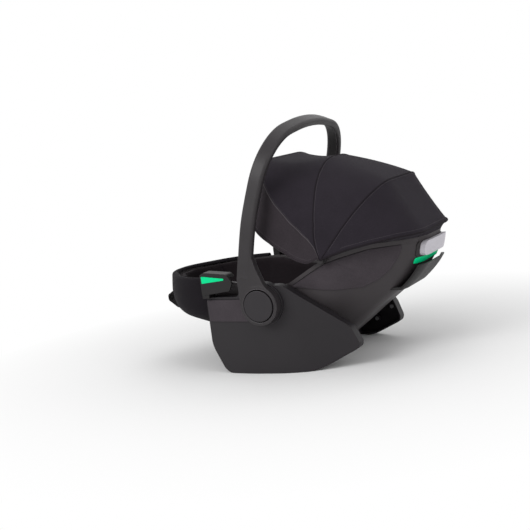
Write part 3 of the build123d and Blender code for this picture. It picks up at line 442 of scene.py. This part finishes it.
stitch_tree, given, curve, out = line_tree("stitch_row", {"Pitch": 0.0042, "Length": 0.0030, "Radius": 0.0004})
spots = put(stitch_tree, "GeometryNodeCurveToPoints", {"Curve": curve, "Length": given["Pitch"]}, mode="LENGTH")
stitch = put(stitch_tree, "GeometryNodeMeshCylinder", {
    "Vertices": 6, "Radius": given["Radius"], "Depth": given["Length"]}).outputs[0]
turned = put(stitch_tree, "FunctionNodeAlignEulerToVector", {
    "Vector": spots.outputs["Tangent"]}, axis="Z").outputs[0]
row = put(stitch_tree, "GeometryNodeInstanceOnPoints", {
    "Points": spots.outputs["Points"], "Instance": stitch, "Rotation": turned}).outputs[0]
row = put(stitch_tree, "GeometryNodeRealizeInstances", {0: row}).outputs[0]
row = put(stitch_tree, "GeometryNodeSetMaterial", {"Geometry": row, "Material": given["Finish"]}).outputs[0]
stitch_tree.links.new(row, out.inputs[0])


def along(name, lines, tree, material, **sizes):
    """Runs a line tree along one or more open lines and keeps the result as a plain mesh."""
    points, edges = [], []
    for line in lines:
        first = len(points)
        points += [tuple(p) for p in line]
        edges += [(k, k + 1) for k in range(first, first + len(line) - 1)]
    mesh = bpy.data.meshes.new(name + "_line")
    mesh.from_pydata(points, edges, [])
    guide = bpy.data.objects.new(name + "_line", mesh)
    scene.collection.objects.link(guide)
    modifier = guide.modifiers.new("run", "NODES")
    modifier.node_group = tree
    for item in tree.interface.items_tree:
        if item.in_out == "INPUT" and item.name in sizes:
            modifier[item.identifier] = sizes[item.name]
        if item.in_out == "INPUT" and item.name == "Finish":
            modifier[item.identifier] = material
    bpy.context.view_layer.update()
    result = bpy.data.meshes.new_from_object(guide.evaluated_get(bpy.context.evaluated_depsgraph_get()))
    bpy.data.objects.remove(guide)
    made = bpy.data.objects.new(name, result)
    result.name = name
    scene.collection.objects.link(made)
    return made


# Canopy: gores between the bows, which sag in or swell out a little between them
CANOPY_COLUMNS = 221
CANOPY_CORE = (0.17, 0.0, 0.30)
OVERHEAD = (0.17, 0.0, 2.0)
CLOTH_THICK = 0.0016
# distance from the pivot at which a gore begins to sag, and the run to its full sag
SAG_FROM, SAG_RUN = 0.03, 0.13
# puckers beside the seams: depth, number, how soon they fade, and the shift from one seam to the other
PUCKER_DEPTH, PUCKER_WAVES, PUCKER_FADE, PUCKER_SHIFT = 0.0005, 46, 0.07, 1.3
# points along a column that is cut at the hem, and the fewest that are left of it
HEM_STEPS, HEM_LEAST = 200, 10


def arch_line(name):
    """Points over one canopy arch from the left side to the right."""
    turn, reach, corner = ARCHES[name]
    side, top = CANOPY_SIDE + CANOPY_GROW, reach + CANOPY_GROW
    flat = rounded_line([(CANOPY_START, -side), (top, -side), (top, side), (CANOPY_START, side)],
                        corner + CANOPY_GROW, CANOPY_COLUMNS)
    turns = np.full(CANOPY_COLUMNS, turn)
    if name in SEAM_TURNS:
        turns = read_off(SEAM_TURNS[name], flat[:, 0])
    turns = np.radians(turns)
    return np.stack([PIVOT_X + flat[:, 0] * np.cos(turns), flat[:, 1],
                     PIVOT_Z + flat[:, 0] * np.sin(turns)], axis=1)


def gore(first, second, rows, sag):
    """Grid between two arches, sagging inwards halfway between them, or outwards where the sag is negative."""
    start, end = arch_line(first), arch_line(second)
    share = np.linspace(0, 1, rows)[:, None, None]
    grid = start[None] * (1 - share) + end[None] * share
    normal = grid_normals(grid)
    side = np.sign(np.sum(normal * (grid - np.array(CANOPY_CORE)), axis=2, keepdims=True))
    radius = np.hypot(grid[..., 0] - PIVOT_X, grid[..., 2] - PIVOT_Z)[..., None]
    hold = smooth_step((radius - SAG_FROM) / SAG_RUN)
    dip = sag * 4 * share * (1 - share) * hold
    wave = 2 * pi * PUCKER_WAVES * np.linspace(0, 1, grid.shape[1])[None, :, None]
    pucker = PUCKER_DEPTH * np.sin(wave) * np.exp(-share / PUCKER_FADE) * hold
    pucker = pucker + PUCKER_DEPTH * np.sin(wave + PUCKER_SHIFT) * np.exp(-(1 - share) / PUCKER_FADE) * hold
    edge = np.sin(pi * share)
    return grid - normal * side * (dip + pucker * edge)


def cut_at_hem(grid, line):
    """Starts every column of a grid at the height of the hem instead of its first row."""
    rows = grid.shape[0]
    result = grid.copy()
    for c in range(grid.shape[1]):
        fine = even_points(grid[:, c], HEM_STEPS)
        above = fine[:, 2] >= read_off(line, fine[:, 0])
        first = int(np.argmax(above)) if above.any() else 0
        result[:, c] = even_points(fine[min(first, HEM_STEPS - HEM_LEAST):], rows)
    return result


rear_grid = cut_at_hem(gore("hem", "rear", rows=41, sag=0.002), HEM_LINE)
rear_gore = sheet_piece("canopy_rear_gore", rear_grid, CLOTH_THICK, canopy_weave, OVERHEAD)
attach(rear_gore, "frame")
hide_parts("canopy_rear_panel")
middle_grid = gore("rear", "middle", rows=45, sag=-0.0045)
middle_gore = sheet_piece("canopy_middle_gore", middle_grid, CLOTH_THICK, canopy_weave, OVERHEAD)
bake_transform(middle_gore)
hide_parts("canopy_middle_panel")
front_grid = gore("middle", "front", rows=37, sag=0.005)
front_gore = sheet_piece("canopy_front_gore", front_grid, CLOTH_THICK, canopy_weave, OVERHEAD)
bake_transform(front_gore)
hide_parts("canopy_front_panel")

# Visor: its edge runs past the visor bow near the pivot and ends in a round tongue
visor_grid = gore("front", "visor", rows=25, sag=0.002)
visor_piece = sheet_piece("canopy_visor_cloth", visor_grid, CLOTH_THICK, visor_weave, OVERHEAD)
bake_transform(visor_piece)
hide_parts("canopy_visor")

# Piping on the seams, and rolled edges at the hem and the visor
for name, arch, body, material, radius in (
        ("rear_seam_piping", "rear", "frame", seam_piping, 0.0011),
        ("middle_seam_piping", "middle", "middle_bow", seam_piping, 0.0011),
        ("front_edge_piping", "front", "front_bow", light_piping, 0.0010)):
    made = along(name, [arch_line(arch)], piping_tree, material, Radius=radius)
    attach(made, body)
hem_roll = along("canopy_hem_roll", [rear_grid[0]], piping_tree, seam_piping, Radius=0.0022)
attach(hem_roll, "frame")
visor_roll = along("visor_edge_roll", [visor_grid[-1]], piping_tree, visor_weave, Radius=0.0018)
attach(visor_roll, "visor")


def beside(grid, edge, gap):
    """The line on a grid at a distance from its first (edge 0) or last row, where the rows lie open enough."""
    lines = []
    for column in (grid if edge == 0 else grid[::-1]).swapaxes(0, 1):
        run = np.concatenate([[0], np.cumsum(np.linalg.norm(np.diff(column, axis=0), axis=1))])
        if run[-1] > 4 * gap:
            lines.append([np.interp(gap, run, column[:, k]) for k in range(3)])
    return np.array(lines)


# Rows of stitches beside the seams
for name, grid, edge, gap, body, slot in (
        ("hem_stitches", rear_grid, 0, 0.008, "frame", "canopy_fabric"),
        ("rear_seam_stitches", rear_grid, 1, 0.0035, "frame", "canopy_fabric"),
        ("middle_seam_stitches", middle_grid, 1, 0.0035, "middle_bow", "canopy_fabric"),
        ("front_seam_stitches", front_grid, 1, 0.0035, "front_bow", "canopy_fabric"),
        ("visor_stitches", visor_grid, 1, 0.007, "visor", "visor_fabric")):
    made = along(name, [beside(grid, edge, gap)], stitch_tree, seam_thread)
    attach(made, body)

# Inner edge of the canopy: a strip of cloth from the hem to the shell, drawn over its rim
TUCK_ROWS, TUCK_ENDS, TUCK_THICK = 25, 4, 0.0012
# the strip's bend at the rim, run in over it, height there, turned-down edge, and distance off the shell
TUCK_BEND, TUCK_OVER, TUCK_LIFT, TUCK_DOWN, TUCK_OFF = 0.001, 0.013, 0.0024, 0.005, 0.0006
TUCK_MIDDLE_X = 0.18
CREST_STEPS = (0.001, 0.002, 0.004, 0.006)
tub_skin = skin_of(nodes["seat_tub"])
tuck_grid = np.zeros((TUCK_ROWS, CANOPY_COLUMNS - 2 * TUCK_ENDS, 3))
for c, top in enumerate(rear_grid[0, TUCK_ENDS:-TUCK_ENDS]):
    spot, facing = tub_skin.find_nearest(Vector(top))[:2]
    inward = Vector((TUCK_MIDDLE_X - spot.x, -spot.y, 0)).normalized()
    crests = [tub_skin.ray_cast(Vector((spot.x, spot.y, RAY_FROM)) + inward * step, Vector((0, 0, -1)))[0]
              for step in CREST_STEPS]
    crest = max([hit.z for hit in crests if hit is not None], default=spot.z) + TUCK_LIFT
    rim, edge = Vector((spot.x, spot.y, crest)), Vector((spot.x, spot.y, crest - TUCK_DOWN))
    route = [Vector(top), spot + facing * TUCK_OFF, rim + inward * TUCK_BEND, rim + inward * TUCK_OVER,
             edge + inward * (TUCK_OVER + TUCK_BEND)]
    tuck_grid[:, c] = even_points(np.array([tuple(p) for p in route]), TUCK_ROWS)
tuck_piece = sheet_piece("canopy_tuck", tuck_grid, TUCK_THICK, canopy_weave, (2.0, 0, 0.26))
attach(tuck_piece, "frame")

# Groove and gloss bezel round each hub button: the groove ring's near-black colour is painted shade for the shade
# in the button's gap, and the bezel's lighter grey is partly a painted highlight
HUB_GAP, HUB_STEPS = 0.0006, 121
# ending of the name, finish, thickness, distance from the middle of the seat, distance outside the button's gap
HUB_RINGS = (("_hub_groove_shade", groove_painted_shade, 0.0016, 0.2160, 0.0006),
             ("_hub_bezel_highlight", bezel_painted_highlight, 0.0008, 0.2169, 0.0026))
for side, hand in SIDES:
    low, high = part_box(side + "_handle_button")
    middle, radius = (low + high) / 2, (high.x - low.x) / 2 + HUB_GAP
    for name, material, thick, off, grow in HUB_RINGS:
        circle = [(middle.x + (radius + grow) * cos(t), hand * off, middle.z + (radius + grow) * sin(t))
                  for t in np.linspace(0, 2 * pi, HUB_STEPS)]
        made = along(side + name, [circle], piping_tree, material, Radius=thick)
        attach(made, "handle")

# Soft cover over the foot end: it rounds the shell's nose, tucks in under it and rolls over the rim
cover_skin = skin_of(nodes["foot_cover"])
COVER_AXIS_X = -0.156
COVER_LOW, COVER_HIGH, COVER_THICK = 0.1000, 0.2055, 0.0024
COVER_ROWS, COVER_COLUMNS, COVER_SMOOTHINGS = 44, 161, 8
# degrees from each end of the cover over which its swell begins
COVER_EASE = 40
# outward swell, and share of the way to a round nose, by share of the height
COVER_BELLY = ((0.0, 0.001), (0.05, 0.005), (0.12, 0.0080), (0.25, 0.0080), (0.45, 0.0060), (0.70, 0.0040),
               (0.90, 0.0015), (1.0, 0.0))
COVER_ROUND = ((0.0, 0.75), (0.35, 0.75), (0.70, 0.62), (1.0, 0.38))
# the roll over the rim: width, height, rows, and the bend in degrees at which it starts
ROLL_WIDE, ROLL_HIGH, ROLL_ROWS, ROLL_FROM = 0.0136, 0.0072, 14, 12
cover_turns = np.radians(np.linspace(90, 270, COVER_COLUMNS))
cover_heights = np.linspace(COVER_LOW, COVER_HIGH, COVER_ROWS)
reach = np.zeros((COVER_ROWS, COVER_COLUMNS))
for c, turn in enumerate(cover_turns):
    way = Vector((cos(turn), sin(turn), 0))
    for r, z in enumerate(cover_heights):
        middle = Vector((COVER_AXIS_X, 0, z))
        spots = [skin.ray_cast(middle + way * RAY_FROM, -way)[0] for skin in (tub_skin, cover_skin)]
        reach[r, c] = max([(spot - middle).dot(way) for spot in spots if spot is not None], default=0.0)
for _ in range(COVER_SMOOTHINGS):
    reach[1:-1] = (reach[:-2] + 2 * reach[1:-1] + reach[2:]) / 4
tip, flank = reach[:, COVER_COLUMNS // 2, None], (reach[:, :1] + reach[:, -1:]) / 2
ease = smooth_step((pi / 2 - np.abs(cover_turns - pi)) / radians(COVER_EASE))
oval = 1 / np.sqrt((np.cos(cover_turns) / tip) ** 2 + (np.sin(cover_turns) / flank) ** 2)
shares = np.linspace(0, 1, COVER_ROWS)
belly, rounding = read_off(COVER_BELLY, shares), read_off(COVER_ROUND, shares)
full = reach + rounding[:, None] * np.maximum(0, oval - reach) + np.outer(belly, ease)
bends = np.radians(np.linspace(ROLL_FROM, 180, ROLL_ROWS))
half = (full[-1] - reach[-1] + ROLL_WIDE) / 2
full = np.vstack([full, full[-1] - half + np.outer(np.cos(bends), half)])
heights = np.concatenate([cover_heights, COVER_HIGH + ROLL_HIGH * np.sin(bends)])
cover_grid = np.stack([COVER_AXIS_X + full * np.cos(cover_turns), full * np.sin(cover_turns),
                       np.repeat(heights[:, None], COVER_COLUMNS, axis=1)], axis=2)
foot_piece = sheet_piece("foot_end_cover", cover_grid, COVER_THICK, nose_weave, (-2.0, 0, 0.16))
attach(foot_piece, "frame")
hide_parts("foot_cover")


# Side covers on the shell under the canopy, and cloth panels on the wings
def fill_gaps(values):
    """Fills the unknown numbers of a row from the known ones beside them."""
    known = ~np.isnan(values)
    places = np.arange(len(values))
    return np.interp(places, places[known], values[known]) if known.any() else values


def side_grid(node, hand, xs, low, high, rows, crown):
    """Grid over a side piece; low and high give its edges along x."""
    skin = skin_of(nodes[node])
    grid = np.zeros((rows, len(xs), 3))
    for c, x in enumerate(xs):
        for r, share in enumerate(np.linspace(0, 1, rows)):
            z = low(x) + (high(x) - low(x)) * share
            spot = skin.ray_cast(Vector((x, hand * SIDE_RAY_FROM, z)), Vector((0, -hand, 0)))[0]
            grid[r, c] = (x, np.nan if spot is None else spot.y, z)
    for c in range(len(xs)):
        grid[:, c, 1] = fill_gaps(grid[:, c, 1])
    for r in range(rows):
        grid[r, :, 1] = fill_gaps(grid[r, :, 1])
    across = np.sin(np.linspace(0, pi, rows))[:, None] ** 0.6 * np.sin(np.linspace(0, pi, len(xs)))[None] ** 0.4
    grid[..., 1] += hand * crown * across
    return grid


SIDE_THICK = 0.0022
# ends of the side covers, distance under the rim, least height, distance off the shell and crown
SKIRT_FROM, SKIRT_TO, SKIRT_UNDER, SKIRT_LEAST = 0.052, 0.290, 0.0105, 0.003
SKIRT_OFF, SKIRT_CROWN = 0.0024, 0.0024
SKIRT_COLUMNS, SKIRT_ROWS = 141, 51
PANEL_INSET, PANEL_CROWN = 0.001, 0.0016
PANEL_COLUMNS, PANEL_ROWS = 61, 31
SKIRT_LOW = ((0.052, 0.180), (0.074, 0.178), (0.112, 0.172), (0.150, 0.167), (0.200, 0.166), (0.235, 0.180),
             (0.262, 0.200), (0.280, 0.222), (0.292, 0.244))
# a crease in each side cover with a soft fold beside it
CREASE_DEEP, CREASE_WIDE, CREASE_END = 0.0016, 0.0022, 0.012
FOLD_HIGH, FOLD_WIDE, FOLD_OFF = 0.0012, 0.006, 0.007
CREASE_FROM, CREASE_TO = np.array((0.159, 0.231)), np.array((0.203, 0.199))
CREASE_LENGTH = np.linalg.norm(CREASE_TO - CREASE_FROM)
CREASE_WAY = (CREASE_TO - CREASE_FROM) / CREASE_LENGTH


def skirt_low(x):
    return read_off(SKIRT_LOW, x)


def skirt_high(x):
    return max(read_off(RIM_LINE, x) - SKIRT_UNDER, skirt_low(x) + SKIRT_LEAST)


for side, hand in SIDES:
    grid = side_grid("seat_tub", hand, np.linspace(SKIRT_FROM, SKIRT_TO, SKIRT_COLUMNS), skirt_low, skirt_high,
                     SKIRT_ROWS, SKIRT_CROWN)
    from_x, from_z = grid[..., 0] - CREASE_FROM[0], grid[..., 2] - CREASE_FROM[1]
    along_crease = from_x * CREASE_WAY[0] + from_z * CREASE_WAY[1]
    off_crease = from_z * CREASE_WAY[0] - from_x * CREASE_WAY[1]
    hold = (np.clip(along_crease / CREASE_END, 0, 1)
            * np.clip((CREASE_LENGTH - along_crease) / CREASE_END, 0, 1))
    grid[..., 1] += hand * (SKIRT_OFF - CREASE_DEEP * hold * np.exp(-(off_crease / CREASE_WIDE) ** 2)
                            + FOLD_HIGH * hold * np.exp(-((off_crease - FOLD_OFF) / FOLD_WIDE) ** 2))
    row = along(side + "_cover_stitches", [beside(grid, 0, 0.005), beside(grid.swapaxes(0, 1), 1, 0.004)],
                stitch_tree, seam_thread)
    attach(row, "frame")
    made = sheet_piece(side + "_side_cover", grid, SIDE_THICK, cover_weave, (0.18, hand * 2, 0.2))
    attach(made, "frame")
    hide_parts(side + "_skirt")
    low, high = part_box(side + "_side_panel")
    grid = side_grid(side + "_side_panel", hand,
                     np.linspace(low.x + PANEL_INSET, high.x - PANEL_INSET, PANEL_COLUMNS),
                     lambda x: low.z + PANEL_INSET, lambda x: high.z - PANEL_INSET, PANEL_ROWS, PANEL_CROWN)
    made = sheet_piece(side + "_wing_cloth", grid, SIDE_THICK, cover_weave, (-0.1, hand * 2, 0.14))
    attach(made, "frame")
    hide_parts(side + "_side_panel")


# Pads: swollen by cloth pressure from the solids' own shapes
FILL_PRESSURE, FILL_QUALITY, FILL_FRAMES = 4.0, 4, 20
ROUND_TURNS, ROUND_SHARE = 6, 0.5


def puff(node, name, material, voxel, cap):
    """A soft copy of a padded solid, rounded and swollen by no more than the cap."""
    made = bpy.data.objects.new(name, nodes[node].data.copy())
    scene.collection.objects.link(made)
    merged = bmesh.new()
    merged.from_mesh(made.data)
    bmesh.ops.remove_doubles(merged, verts=merged.verts, dist=1e-5)
    merged.to_mesh(made.data)
    merged.free()
    made.data.materials.clear()
    made.data.materials.append(material)
    remesh = made.modifiers.new("voxels", "REMESH")
    remesh.mode = "VOXEL"
    remesh.voxel_size = voxel
    smooth = made.modifiers.new("smooth", "SMOOTH")
    smooth.iterations = ROUND_TURNS
    smooth.factor = ROUND_SHARE
    bpy.context.view_layer.update()
    mesh = bpy.data.meshes.new_from_object(made.evaluated_get(bpy.context.evaluated_depsgraph_get()))
    made.modifiers.clear()
    made.data = mesh
    mesh.name = name
    rest = np.array([v.co for v in mesh.vertices])
    cloth_sim = made.modifiers.new("fill", "CLOTH")
    cloth_sim.settings.use_pressure = True
    cloth_sim.settings.uniform_pressure_force = FILL_PRESSURE
    cloth_sim.settings.effector_weights.gravity = 0.0
    cloth_sim.settings.quality = FILL_QUALITY
    cloth_sim.point_cache.frame_end = FILL_FRAMES
    for step in range(1, FILL_FRAMES + 1):
        scene.frame_set(step)
    bpy.context.view_layer.update()
    shape = made.evaluated_get(bpy.context.evaluated_depsgraph_get())
    moved = np.array([v.co for v in shape.data.vertices]) - rest
    made.modifiers.clear()
    scene.frame_set(1)
    size = np.linalg.norm(moved, axis=1, keepdims=True)
    rest = rest + moved * np.minimum(1.0, cap / np.maximum(size, 1e-9))
    mesh.vertices.foreach_set("co", rest.astype(np.float32).ravel())
    mesh.polygons.foreach_set("use_smooth", [True] * len(mesh.polygons))
    mesh.update()
    return made


seat_cushion = puff("seat_pad", "seat_cushion", pad_knit, voxel=0.006, cap=0.003)
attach(seat_cushion, "frame")
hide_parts("seat_pad")
head_cushion = puff("head_support", "head_cushion", head_knit, voxel=0.005, cap=0.004)
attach(head_cushion, "head")
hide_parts("head_support")

# Two long seams on the pad
PAD_SEAM_Y, PAD_SEAM_FLARE, PAD_SEAM_LIFT = 0.078, 0.012, 0.0003
PAD_SEAM_FROM, PAD_SEAM_TO, PAD_SEAM_RAYS, PAD_SEAM_STEPS = -0.262, 0.110, 120, 140
pad_skin = skin_of(seat_cushion)


def pad_seam_y(x):
    return PAD_SEAM_Y + PAD_SEAM_FLARE * sin(pi * (x - PAD_SEAM_FROM) / (PAD_SEAM_TO - PAD_SEAM_FROM))


seam_lines = [line_on_top(pad_skin, np.linspace(PAD_SEAM_FROM, PAD_SEAM_TO, PAD_SEAM_RAYS),
                          lambda x: hand * pad_seam_y(x), PAD_SEAM_STEPS, PAD_SEAM_LIFT) for _, hand in SIDES]
pad_seams = along("pad_seam_piping", seam_lines, piping_tree, seam_piping, Radius=0.0014)
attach(pad_seams, "frame")
for side, _ in SIDES:
    made = puff(side + "_shoulder_pad", side + "_strap_sleeve", head_knit, voxel=0.004, cap=0.003)
    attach(made, "frame")
    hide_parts(side + "_shoulder_pad")


# Webbing straps, sized by half their width
WEBBING_THICK, WEBBING_ROWS = 0.0016, 9
HARNESS_HALF, CROTCH_HALF, PULL_HALF = 0.0148, 0.0128, 0.0125
# a shoulder strap's ends, and its distance from the middle, which grows from one end to the other
STRAP_FROM, STRAP_TO, STRAP_RAYS, STRAP_STEPS = -0.011, 0.204, 60, 80
STRAP_Y, STRAP_SPREAD, STRAP_SPREAD_FROM, STRAP_SPREAD_RUN = 0.017, 0.033, -0.012, 0.217
CROTCH_INSET, CROTCH_STEPS = 0.0005, 40
# x and height along the pull loop
PULL_ROUTE = ((-0.302, 0.160), (-0.342, 0.160), (-0.358, 0.150), (-0.358, 0.137), (-0.334, 0.118), (-0.268, 0.116))
PULL_CORNER, PULL_THICK, PULL_STEPS = 0.007, 0.0018, 90


def ribbon(name, line, half, thick, outward):
    """Flat webbing along a line, half its width to each side; outward is a point on its outer side."""
    grid = np.stack([line + np.array((0, half, 0)) * share for share in np.linspace(-1, 1, WEBBING_ROWS)])
    return sheet_piece(name, grid, thick, strap_web, outward)


def strap_y(x):
    return STRAP_Y + (x - STRAP_SPREAD_FROM) / STRAP_SPREAD_RUN * STRAP_SPREAD


for side, hand in SIDES:
    line = line_on_top(skin_of(nodes[side + "_shoulder_strap"]), np.linspace(STRAP_FROM, STRAP_TO, STRAP_RAYS),
                       lambda x: hand * strap_y(x), STRAP_STEPS)
    made = ribbon(side + "_harness_webbing", line, HARNESS_HALF, WEBBING_THICK, (0, 0, 2))
    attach(made, "frame")
    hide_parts(side + "_shoulder_strap")
low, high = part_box("crotch_strap")
line = line_on_top(skin_of(nodes["crotch_strap"]),
                   np.linspace(low.x + CROTCH_INSET, high.x - CROTCH_INSET, CROTCH_STEPS),
                   lambda x: 0.0, CROTCH_STEPS)
made = ribbon("crotch_webbing", line, CROTCH_HALF, WEBBING_THICK, (0, 0, 2))
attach(made, "frame")
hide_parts("crotch_strap")
line = rounded_line(PULL_ROUTE, PULL_CORNER, PULL_STEPS)
line = np.stack([line[:, 0], np.zeros(PULL_STEPS), line[:, 1]], axis=1)
made = ribbon("pull_loop_webbing", line, PULL_HALF, PULL_THICK, (-2, 0, 0.14))
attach(made, "frame")
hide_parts("pull_strap")

# Stage, light and camera
FLOOR_REACH = 14
# distances from the middle between which the floor fades to white
FADE_FROM, FADE_TO = 0.35, 0.95
FILL_LIGHT = 0.55
AIM = (0, 0, 0.2)
IMAGE_WIDE, FOCAL_PIXELS, SENSOR_WIDE = 530.0, 1100.0, 36.0
CAMERA_PLACE = (1.1118, -2.2261, 0.5652)
CAMERA_BACK, CAMERA_UP = (0.470, -0.872, 0.140), (0.051, 0.185, 0.981)
WHITE = (1, 1, 1, 1)
floor_mesh = bpy.data.meshes.new("floor")
floor_mesh.from_pydata([(x * FLOOR_REACH, y * FLOOR_REACH, 0) for x, y in ((-1, -1), (1, -1), (1, 1), (-1, 1))],
                       [], [(0, 1, 2, 3)])
floor = bpy.data.objects.new("floor", floor_mesh)
scene.collection.objects.link(floor)
pale, tree, shader = start_material("pale_floor")
shader.inputs["Base Color"].default_value = (0.92, 0.92, 0.92, 1)
shader.inputs["Roughness"].default_value = 0.9
shader.inputs["Specular IOR Level"].default_value = 0.1
away = put(tree, "ShaderNodeVectorMath", {0: put(tree, "ShaderNodeTexCoord").outputs["Object"]},
           operation="LENGTH")
clear = put(tree, "ShaderNodeEmission", {"Color": WHITE, "Strength": 1.0})
share = calc(tree, "MULTIPLY", remap(tree, away.outputs["Value"], FADE_FROM, FADE_TO, 0.0, 1.0),
             put(tree, "ShaderNodeLightPath").outputs["Is Camera Ray"])
faded = put(tree, "ShaderNodeMixShader", {0: share, 1: shader.outputs[0], 2: clear.outputs[0]})
tree.links.new(faded.outputs[0], tree.nodes["Material Output"].inputs["Surface"])
floor_mesh.materials.append(pale)

world = bpy.data.worlds.new("studio")
world.use_nodes = True
scene.world = world
tree = world.node_tree
plain = tree.nodes["Background"]
plain.inputs["Color"].default_value = WHITE
plain.inputs["Strength"].default_value = FILL_LIGHT
white = put(tree, "ShaderNodeBackground", {"Color": WHITE, "Strength": 1.0})
path = put(tree, "ShaderNodeLightPath").outputs
seen = calc(tree, "MAXIMUM", path["Is Camera Ray"], calc(
    tree, "MAXIMUM", path["Is Glossy Ray"], path["Is Transmission Ray"]))
both = put(tree, "ShaderNodeMixShader", {0: seen, 1: plain.outputs[0], 2: white.outputs[0]})
tree.links.new(both.outputs[0], tree.nodes["World Output"].inputs["Surface"])


def lamp(name, place, size, power):
    data = bpy.data.lights.new(name, "AREA")
    data.shape = "RECTANGLE"
    data.size, data.size_y = size
    data.energy = power
    made = bpy.data.objects.new(name, data)
    made.location = place
    made.rotation_euler = (Vector(AIM) - Vector(place)).to_track_quat("-Z", "Y").to_euler()
    scene.collection.objects.link(made)


lamp("key_light", (-1.4, -2.9, 2.0), (2.2, 1.6), 62)
lamp("top_light", (0.6, 0.4, 3.0), (2.6, 2.0), 12)
lamp("side_light", (2.8, -1.2, 1.6), (1.6, 1.6), 20)

camera_data = bpy.data.cameras.new("photo_camera")
camera_data.sensor_width = SENSOR_WIDE
camera_data.lens = FOCAL_PIXELS / IMAGE_WIDE * SENSOR_WIDE
camera = bpy.data.objects.new("photo_camera", camera_data)
back = Vector(CAMERA_BACK).normalized()
right = Vector(CAMERA_UP).cross(back).normalized()
up = back.cross(right)
turn = Matrix((right, up, back)).transposed().to_4x4()
camera.matrix_world = Matrix.Translation(CAMERA_PLACE) @ turn
scene.collection.objects.link(camera)
scene.camera = camera
scene.view_settings.view_transform = "Standard"
